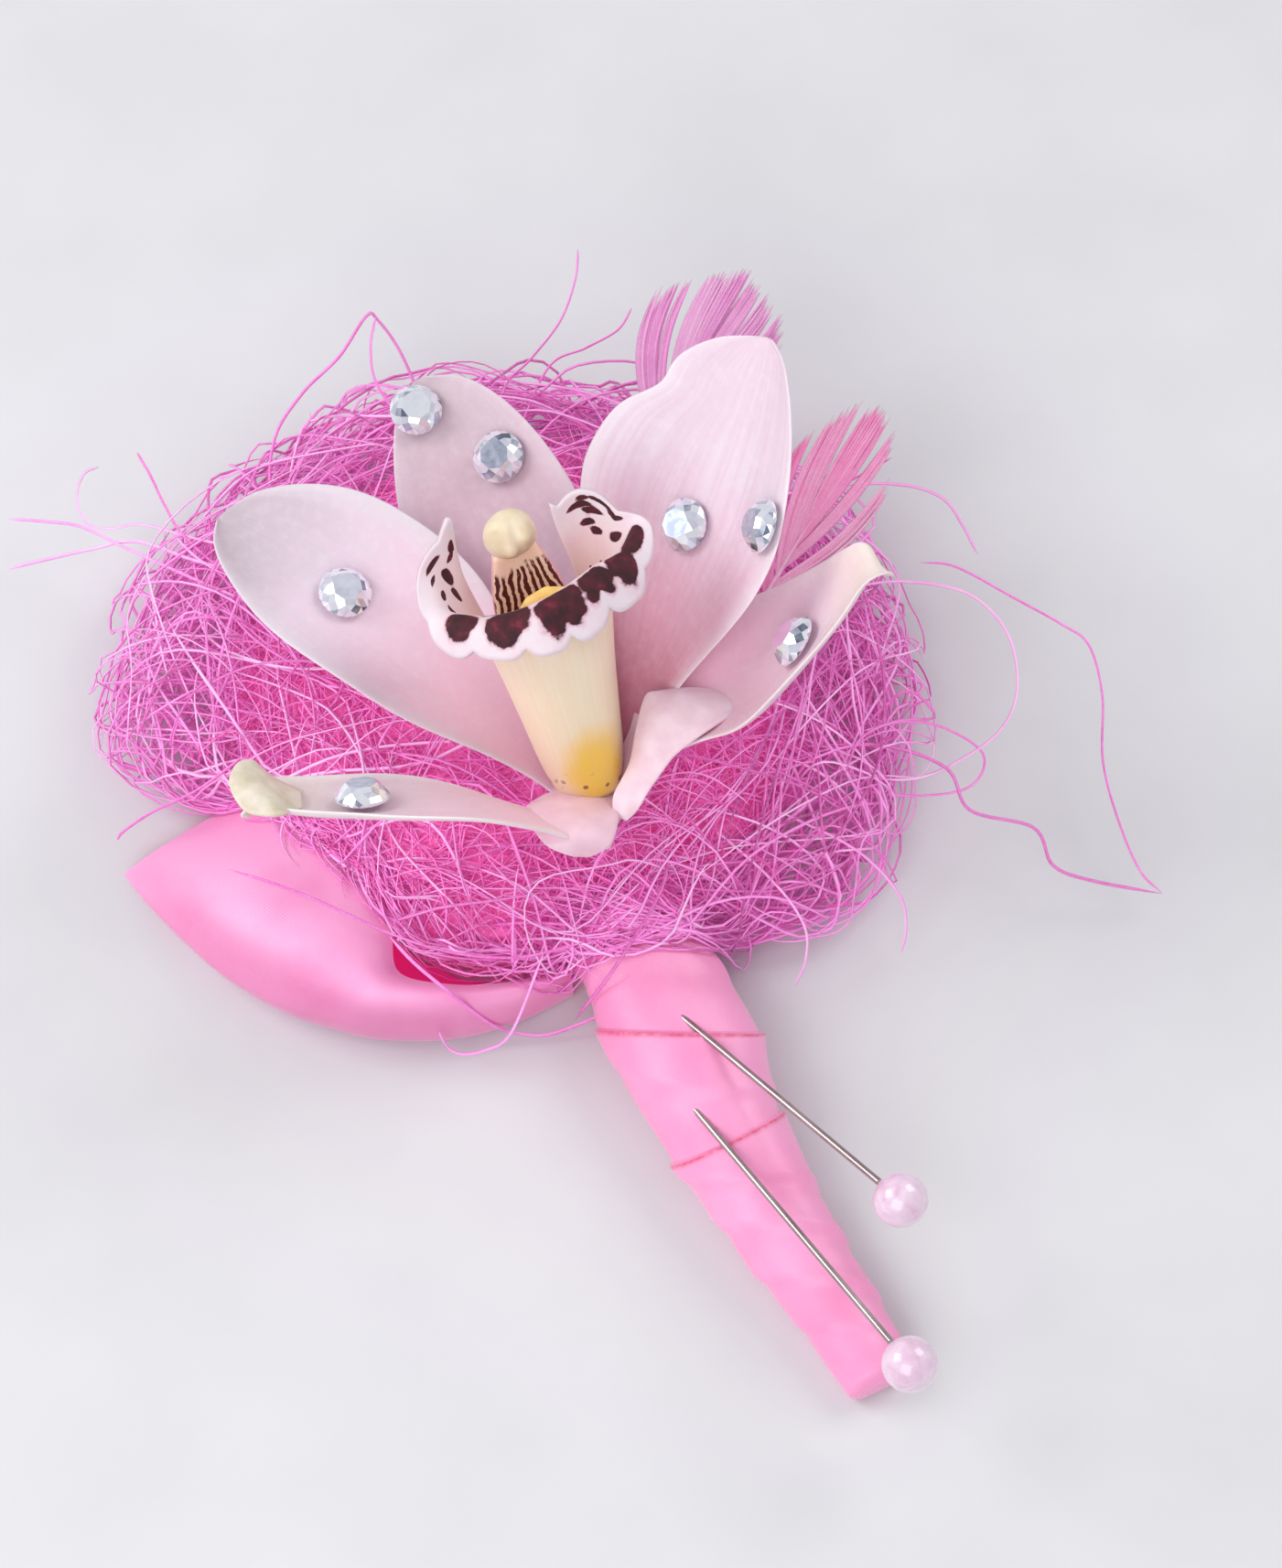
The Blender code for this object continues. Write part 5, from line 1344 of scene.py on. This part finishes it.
def make_pin(number, entry, pearl):
    """A corsage pin's wire, pointed at its far end, and its pearl head."""
    pearl = np.array(pearl)
    direction = unit(np.array(entry) - pearl)
    start = pearl + direction * (PEARL_RADIUS + CLEARANCE)
    length = PIN_LENGTH - 2 * PEARL_RADIUS - CLEARANCE
    u = np.concatenate([np.linspace(0, 0.9, 12), np.linspace(0.92, 1.0, 6)])
    radii = PIN_RADIUS * np.minimum(1.0, np.maximum((1 - u) / 0.1, 0.04))
    path = start + np.outer(u * length, direction)
    shaft = laid_tube(f"pin_{number}_wire", tube_rings(path, radii, radii, (0, 0, 1), 24))
    smooth(shaft, 60)
    head, place = unit_sphere(f"pin_{number}_pearl", 64, 40)
    # A moulded pearl has a shallow dimple where its wire goes in, and is a touch shorter that way
    dimple = 1 - 0.05 * np.exp(-((1 - place[:, 2]) / 0.035)) - 0.012 * place[:, 2] ** 2
    side = unit(np.cross(direction, (0, 0, 1)))
    own_axes = np.stack([side, np.cross(direction, side), direction])
    lay(head, pearl + (place * dimple[:, None] * PEARL_RADIUS) @ own_axes)
    close_up(head)
    smooth(head)
    return shaft, head


# The feathers

def make_feather(name, root, tip, spread, fork, thick, vanes, rng):
    """A quill and the fine barbs that fan out from it, laid side by side in a few split vanes."""
    root, tip = np.array(root), np.array(tip)
    along = unit(tip - root)
    length = np.linalg.norm(tip - root)
    side = unit(np.cross(along, (0, 0, 1)))
    up = np.cross(side, along)
    t = np.linspace(0, 1, FEATHER_STEPS)[:, None]
    width = thick * np.minimum(1.0, 6 * t[:, 0] + 0.2) * (1 - t[:, 0] ** 6)
    paths, radii, tints = [], [], []
    for first, last in vanes:
        shade, lift, droop = rng.uniform(0.35, 0.75), rng.uniform(-0.5, 0.5), rng.uniform(0.0, 0.04)
        middle = (first + last) / 2
        for place in np.arange(first, last, 0.55 * thick / spread):
            # Barbs of one vane draw together towards their tips
            lean = place + (middle - place) * 0.18 + rng.normal(0, 0.006)
            start = root + along * length * (fork + 0.22 * (1 - abs(place)))
            reach = 1 - 0.2 * place ** 2 - droop - rng.uniform(0.0, 0.035)
            end = root + along * length * reach + side * spread * lean
            bow = side * spread * 0.25 * place * np.sin(math.pi * t) + up * (lift + 0.05 * rng.normal()) * t
            paths.append(start + (end - start) * t + bow)
            radii.append(width * rng.uniform(0.8, 1.1))
            tints.append(np.clip(shade + rng.normal(0, 0.09), 0, 1))
    paths.append(root + along * length * 0.9 * t)
    radii.append(1.6 * thick * np.linspace(1.0, 0.35, FEATHER_STEPS))
    tints.append(0.9)
    return fibres(name, paths, radii, tints, FLAT_BARB, twist="Z_UP")


# The nest

def map_cells(points):
    """The square millimetre of the map that each point lies in."""
    return np.clip(np.floor(points[..., :2] + MAP_SIZE / 2).astype(int), 0, MAP_SIZE - 1)


def height_map(lattices, lowest):
    """For each square millimetre, the lowest or highest point of some surfaces over it."""
    extreme = np.minimum if lowest else np.maximum
    points = np.concatenate([lattice.reshape(-1, 3) for lattice in lattices])
    cells = map_cells(points)
    chart = np.full((MAP_SIZE, MAP_SIZE), 1e3 if lowest else 0.0)
    extreme.at(chart, (cells[:, 0], cells[:, 1]), points[:, 2])
    padded = np.pad(chart, 1, mode="edge")
    spread = [padded[i:MAP_SIZE + i, j:MAP_SIZE + j] for i in range(3) for j in range(3)]
    return extreme.reduce(spread)


def read_map(chart, points):
    cells = map_cells(points)
    return chart[cells[..., 0], cells[..., 1]]


def pad_top(radius):
    """Height of the felted pad's upper face at a distance from its middle."""
    share = np.minimum(radius / PAD_RADIUS, 1.0)
    return PAD_WAIST + (PAD_HEIGHT - PAD_WAIST) * np.sqrt(1 - share ** PAD_FLATNESS)


def nest_reach(flat):
    """How far from the nest's middle strands may lie, in the direction of each point."""
    bearings, reaches = zip(*NEST_REACH)
    return np.interp(np.degrees(np.arctan2(flat[..., 1], flat[..., 0])), bearings, reaches)


def round_nest(bearing, radius, height):
    """Points at bearings and distances from the nest's middle, at given heights."""
    x = NEST_CENTRE[0] + radius * np.cos(bearing)
    y = NEST_CENTRE[1] + radius * np.sin(bearing)
    return np.stack([x, y, height], axis=1)


def wander(rng, place, heading, steps, stride, curl, steer):
    """Strands that wander from their starts, curling at random and turned back by steer."""
    paths = np.zeros((len(place), steps, 3))
    spin = rng.normal(size=place.shape) * curl
    for k in range(steps):
        paths[:, k] = place
        spin = 0.88 * spin + 0.475 * curl * rng.normal(size=place.shape)
        heading = unit(heading + (np.cross(spin, heading) + steer(place)) * stride)
        place = place + heading * stride
    return paths


def between(rng, paths, ground, ceiling, spill):
    """Strands moved to lie over what is under them and below what is over them."""
    slack = rng.uniform(-5.0, spill, (len(paths), 1))
    pile = rng.uniform(-2.5, 3.5, (len(paths), 1))
    for _ in range(2):
        flat = paths[..., :2] - NEST_CENTRE
        outward = np.clip((np.linalg.norm(flat, axis=-1) - nest_reach(flat) - slack + 14) / 15.5, 0, 1)
        low = np.maximum(read_map(ground, paths) + 0.35, 0.3 + 2.5 * outward ** 3)
        high = np.minimum(read_map(ceiling, paths) - 0.9, 3.5 + (12.5 + pile) * np.sqrt(1 - outward ** 2))
        high = np.maximum(high, low)
        paths[..., 2] = np.clip(paths[..., 2], low, high)
        paths[:, 1:-1, 2] = (paths[:, :-2, 2] + 2 * paths[:, 1:-1, 2] + paths[:, 2:, 2]) / 4
    # Nor do they run through the bloom's stalk
    stalk = paths[..., :2] - STALK_MIDDLE
    far = np.linalg.norm(stalk, axis=-1, keepdims=True)
    beside = STALK_MIDDLE + stalk / np.maximum(far, 0.1) * STALK_SPACE
    paths[..., :2] = np.where(far < STALK_SPACE, beside, paths[..., :2])
    flat = paths[..., :2] - NEST_CENTRE
    over = np.maximum(np.linalg.norm(flat, axis=-1) / (nest_reach(flat) + slack), 1e-6)
    drawn = np.where(over > 1, 1 + 0.35 * (over - 1), over)
    paths[..., :2] = NEST_CENTRE + flat * (drawn / over)[..., None]
    return paths


def ring_strands(rng, count, steps, stride, curl, inner, outer, low, high):
    """Strands that run round the nest's rim, in and out of each other."""
    theta = rng.uniform(0, 2 * math.pi, count)
    radius = rng.uniform(inner, outer, count)
    place = round_nest(theta, radius, rng.uniform(low, high, count))
    way = rng.choice([-1.0, 1.0], count)
    along_rim = np.stack([-np.sin(theta) * way, np.cos(theta) * way, np.zeros(count)], axis=1)
    heading = unit(along_rim + rng.normal(0, 0.3, (count, 3)) * (1, 1, 0.5))
    slack = rng.uniform(-4.5, 3.0, count)

    def steer(points):
        flat = points[:, :2] - NEST_CENTRE
        far = np.linalg.norm(flat, axis=1)
        rim = np.minimum(nest_reach(flat), outer + 4) + slack
        push = np.clip((inner - far) / 6, 0, 1) * (rim > inner + 3) - np.clip((far - rim) / 3, 0, 2)
        sink = np.clip((low - points[:, 2]) / 3, 0, 1) - np.clip((points[:, 2] - high) / 3, 0, 1)
        return np.column_stack([flat / far[:, None] * push[:, None], sink]) * STEERING

    return wander(rng, place, heading, steps, stride, curl, steer)


def felt_strands(rng, count, steps, stride, curl):
    """Short fine strands matted over the pad."""
    theta = rng.uniform(0, 2 * math.pi, count)
    radius = FELT_RADIUS * np.sqrt(rng.uniform(0.0, 1, count))
    place = round_nest(theta, radius, pad_top(radius) - rng.uniform(0.2, 1.4, count))
    along_rim = np.stack([-np.sin(theta), np.cos(theta), np.zeros(count)], axis=1) * (radius / 20)[:, None]
    loose = rng.normal(0, 0.8, (count, 3)) * (1, 1, 0.12)
    heading = unit(loose + along_rim * rng.choice([-1, 1], (count, 1)))

    def steer(points):
        flat = points[:, :2] - NEST_CENTRE
        far = np.linalg.norm(flat, axis=1)
        push = -np.clip((far - FELT_RADIUS) / 4, 0, 1)
        sink = (pad_top(np.minimum(far, FELT_RADIUS)) - 0.4 - points[:, 2]) / 2
        outward = flat / far[:, None] * push[:, None] * STEERING
        return np.column_stack([outward, np.clip(sink, -1, 1) * 0.25])

    return wander(rng, place, heading, steps, stride, curl, steer)


def make_pad(ceiling):
    """The matted middle, kept inside the ribbon loop and off the wrapped stem."""
    angles = np.linspace(0, 2 * math.pi, PAD_SIDES + 1)
    inner_edges = np.array([inner for _, inner, _, _ in LOOP_STATIONS])[2:] - NEST_CENTRE
    bearing = np.arctan2(inner_edges[:, 1], inner_edges[:, 0]) % (2 * math.pi)
    order = np.argsort(bearing)
    inside_loop = np.linalg.norm(inner_edges, axis=1)[order] - 0.8
    loop_reach = np.interp(angles % (2 * math.pi), bearing[order], inside_loop, left=PAD_RADIUS,
                           right=PAD_RADIUS)
    by_stem = np.abs(np.angle(np.exp(1j * (angles + math.pi / 2)))) < PAD_STEM_ANGLE
    rim = np.minimum(np.minimum(loop_reach, np.where(by_stem, PAD_BY_STEM, PAD_RADIUS)), PAD_RADIUS - 1.0)
    rim = smoothed(np.concatenate([rim[-8:-1], rim, rim[1:8]]))
    rows = []
    for share, height in PAD_UNDERSIDE:
        rows.append(round_nest(angles, rim * share, np.full_like(angles, height)))
    for share in PAD_TOP_SHARES:
        radius = rim * share
        lumps = 0.5 * np.sin(5 * angles + 7 * share) + 0.35 * np.sin(11 * angles + 19 * share)
        height = pad_top(radius * PAD_RADIUS / rim) - 1.1 + 0.7 * share * lumps
        rows.append(round_nest(angles, radius, height))
    points = np.array(rows)
    upper = points[len(PAD_UNDERSIDE):]
    upper[:, :, 2] = np.minimum(upper[:, :, 2], read_map(ceiling, upper) - 1.2)
    piece = laid_grid("sisal_felt", points)
    close_up(piece)
    finish_with(piece, "SUBSURF", levels=1, render_levels=1)
    smooth(piece)
    wear(piece, felt_finish())
    return piece


def make_nest():
    """The pad, the layers of strands round its rim, its short fibres and the single strays."""
    rng = np.random.default_rng(NEST_SEED)
    ceiling = height_map([tepal_lattice(name, 96, 60) for name in TEPALS], True)
    ground = height_map([wrap_lattice()[0], loop_lattice()], False)
    dyed = sisal_finish("dyed_sisal", [
        (0.0, (0.60, 0.16, 0.46)), (0.22, (0.88, 0.36, 0.72)), (0.5, (0.97, 0.53, 0.86)),
        (0.75, (1.0, 0.66, 0.93)), (1.0, (1.0, 0.82, 0.97))])
    bright = sisal_finish("bright_sisal", [
        (0.0, (0.88, 0.22, 0.60)), (0.35, (0.98, 0.38, 0.76)), (0.7, (1.0, 0.54, 0.86)),
        (1.0, (1.0, 0.74, 0.94))])
    pieces = [make_pad(ceiling)]

    def strew(name, paths, radii, tints, material):
        piece = fibres(name, paths, radii, tints, ROUND_FIBRE)
        wear(piece, material)
        pieces.append(piece)

    for name, (count, steps, stride, curl, inner, outer, low, high, width) in SISAL_LAYERS.items():
        paths = ring_strands(rng, count, steps, stride, curl, inner, outer, low, high)
        paths = between(rng, paths, ground, ceiling, 3.0)
        radii = [taper(steps) * width * rng.uniform(0.7, 1.5) for _ in paths]
        strew(name, paths, radii, rng.beta(2.2, 1.8, count), dyed)
    paths = between(rng, felt_strands(rng, FELT_COUNT, FELT_STEPS, 1.9, 0.08), ground, ceiling, 0.5)
    radii = [taper(FELT_STEPS) * 0.1 * rng.uniform(0.6, 1.5) for _ in paths]
    strew("sisal_felt_fibres", paths, radii, rng.beta(2.0, 2.0, FELT_COUNT), bright)
    paths = [ease(stray, np.linspace(0, 1, 8 * len(stray))) for stray in STRAYS]
    radii = [taper(len(path), 0.06, 0.06) * rng.uniform(0.16, 0.24) for path in paths]
    strew("sisal_strays", paths, radii, rng.uniform(0.3, 0.95, len(paths)), dyed)
    return pieces


# The studio

def set_stage():
    """The camera, the lights, the pale surroundings and the floor."""
    azimuth, elevation = math.radians(VIEW_AZIMUTH), math.radians(VIEW_ELEVATION)
    right = Vector((math.cos(azimuth), math.sin(azimuth), 0.0))
    level = math.cos(elevation)
    back = Vector((math.sin(azimuth) * level, -math.cos(azimuth) * level, math.sin(elevation)))
    up = back.cross(right)
    aim = Vector(HEART) + right * EYE_ACROSS + up * EYE_RAISE
    bpy.ops.object.select_all(action="DESELECT")
    bpy.ops.object.camera_add(location=(aim + back * EYE_DISTANCE) * MM,
                              rotation=(-back).to_track_quat("-Z", "Y").to_euler())
    camera = bpy.context.object
    camera.data.lens = LENS
    camera.data.sensor_width = SENSOR
    camera.data.clip_start = 0.01
    bpy.context.scene.camera = camera
    for name, ((across, above, nearer), power, size) in LIGHTS.items():
        toward = right * across + up * above + back * nearer
        bpy.ops.object.light_add(type="AREA", rotation=toward.to_track_quat("Z", "Y").to_euler(),
                                 location=(Vector(HEART) + toward.normalized() * LIGHT_DISTANCE) * MM)
        light = bpy.context.object
        light.name = name
        light.data.energy = power
        light.data.size = size
    world = bpy.data.worlds.new("studio")
    world.use_nodes = True
    sky = world.node_tree.nodes["Background"]
    sky.inputs[0].default_value = tone(*STUDIO_TONE)
    sky.inputs[1].default_value = STUDIO_STRENGTH
    bpy.context.scene.world = world
    bpy.context.scene.view_settings.view_transform = "Standard"
    floor = fresh(bpy.ops.mesh.primitive_plane_add, "floor", size=FLOOR_SIZE)
    material, tree, shader = finish("pale_floor")
    body = place_on(tree)
    cloud = noise(tree, body, 40, detail=4)
    feed(tree, shader, base_color=graded(tree, cloud, (0.82, 0.82, 0.83), (0.84, 0.84, 0.85)),
         roughness=graded(tree, noise(tree, body, 300), 0.7, 0.85))
    wear(floor, material)


def settle(piece, slot, *nodes):
    """The piece moves with the corsage and stands for its CAD nodes, which are hidden; its slot is not
    used.
    """
    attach(piece, "root")
    if nodes:
        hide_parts(*nodes)


set_stage()
for tepal_name in TEPALS:
    settle(make_tepal(tepal_name), "petal", tepal_name)
for fold_name in FOLDS:
    settle(make_fold(fold_name), "petal")
settle(make_lip(), "lip", "lip")
settle(make_callus(), "lip")
settle(make_column(), "column", "column")
settle(make_anther(), "anther", "anther_cap")
settle(make_pedicel(), "stalk", "pedicel")
stone_material = stone_finish()
for stone_number, (stone_tepal, stone_u, stone_w) in enumerate(STONES, 1):
    stone = make_stone(stone_number, stone_tepal, stone_u, stone_w)
    wear(stone, stone_material)
    settle(stone, "stone", f"rhinestone_{stone_number}")

wrap = make_wrap()
settle(wrap, "satin", "ribbon_wrap")
loop = make_loop()
settle(loop, "satin", "ribbon_loop")

steel, pearl_material = steel_finish(), pearl_finish()
for pin_number, (pin_entry, pin_pearl) in enumerate(PINS, 1):
    wire, head = make_pin(pin_number, pin_entry, pin_pearl)
    wear(wire, steel)
    wear(head, pearl_material)
    settle(wire, "steel", f"pin_shaft_{pin_number}")
    settle(head, "pearl", f"pearl_head_{pin_number}")

feather_rng = np.random.default_rng(FEATHER_SEED)
for feather_name, (feather_slot, *feather_tones) in FEATHER_TONES.items():
    feather = make_feather(feather_name + "_barbs", rng=feather_rng, **FEATHERS[feather_name])
    wear(feather, feather_finish(feather_slot, *feather_tones))
    settle(feather, feather_slot, feather_name)

for nest_number, strands in enumerate(make_nest()):
    settle(strands, "sisal", *(["sisal_nest"] if nest_number == 0 else []))

taped_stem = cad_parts["taped_stem"]
taped_stem.data.materials.clear()
taped_stem.data.materials.append(tape_finish())
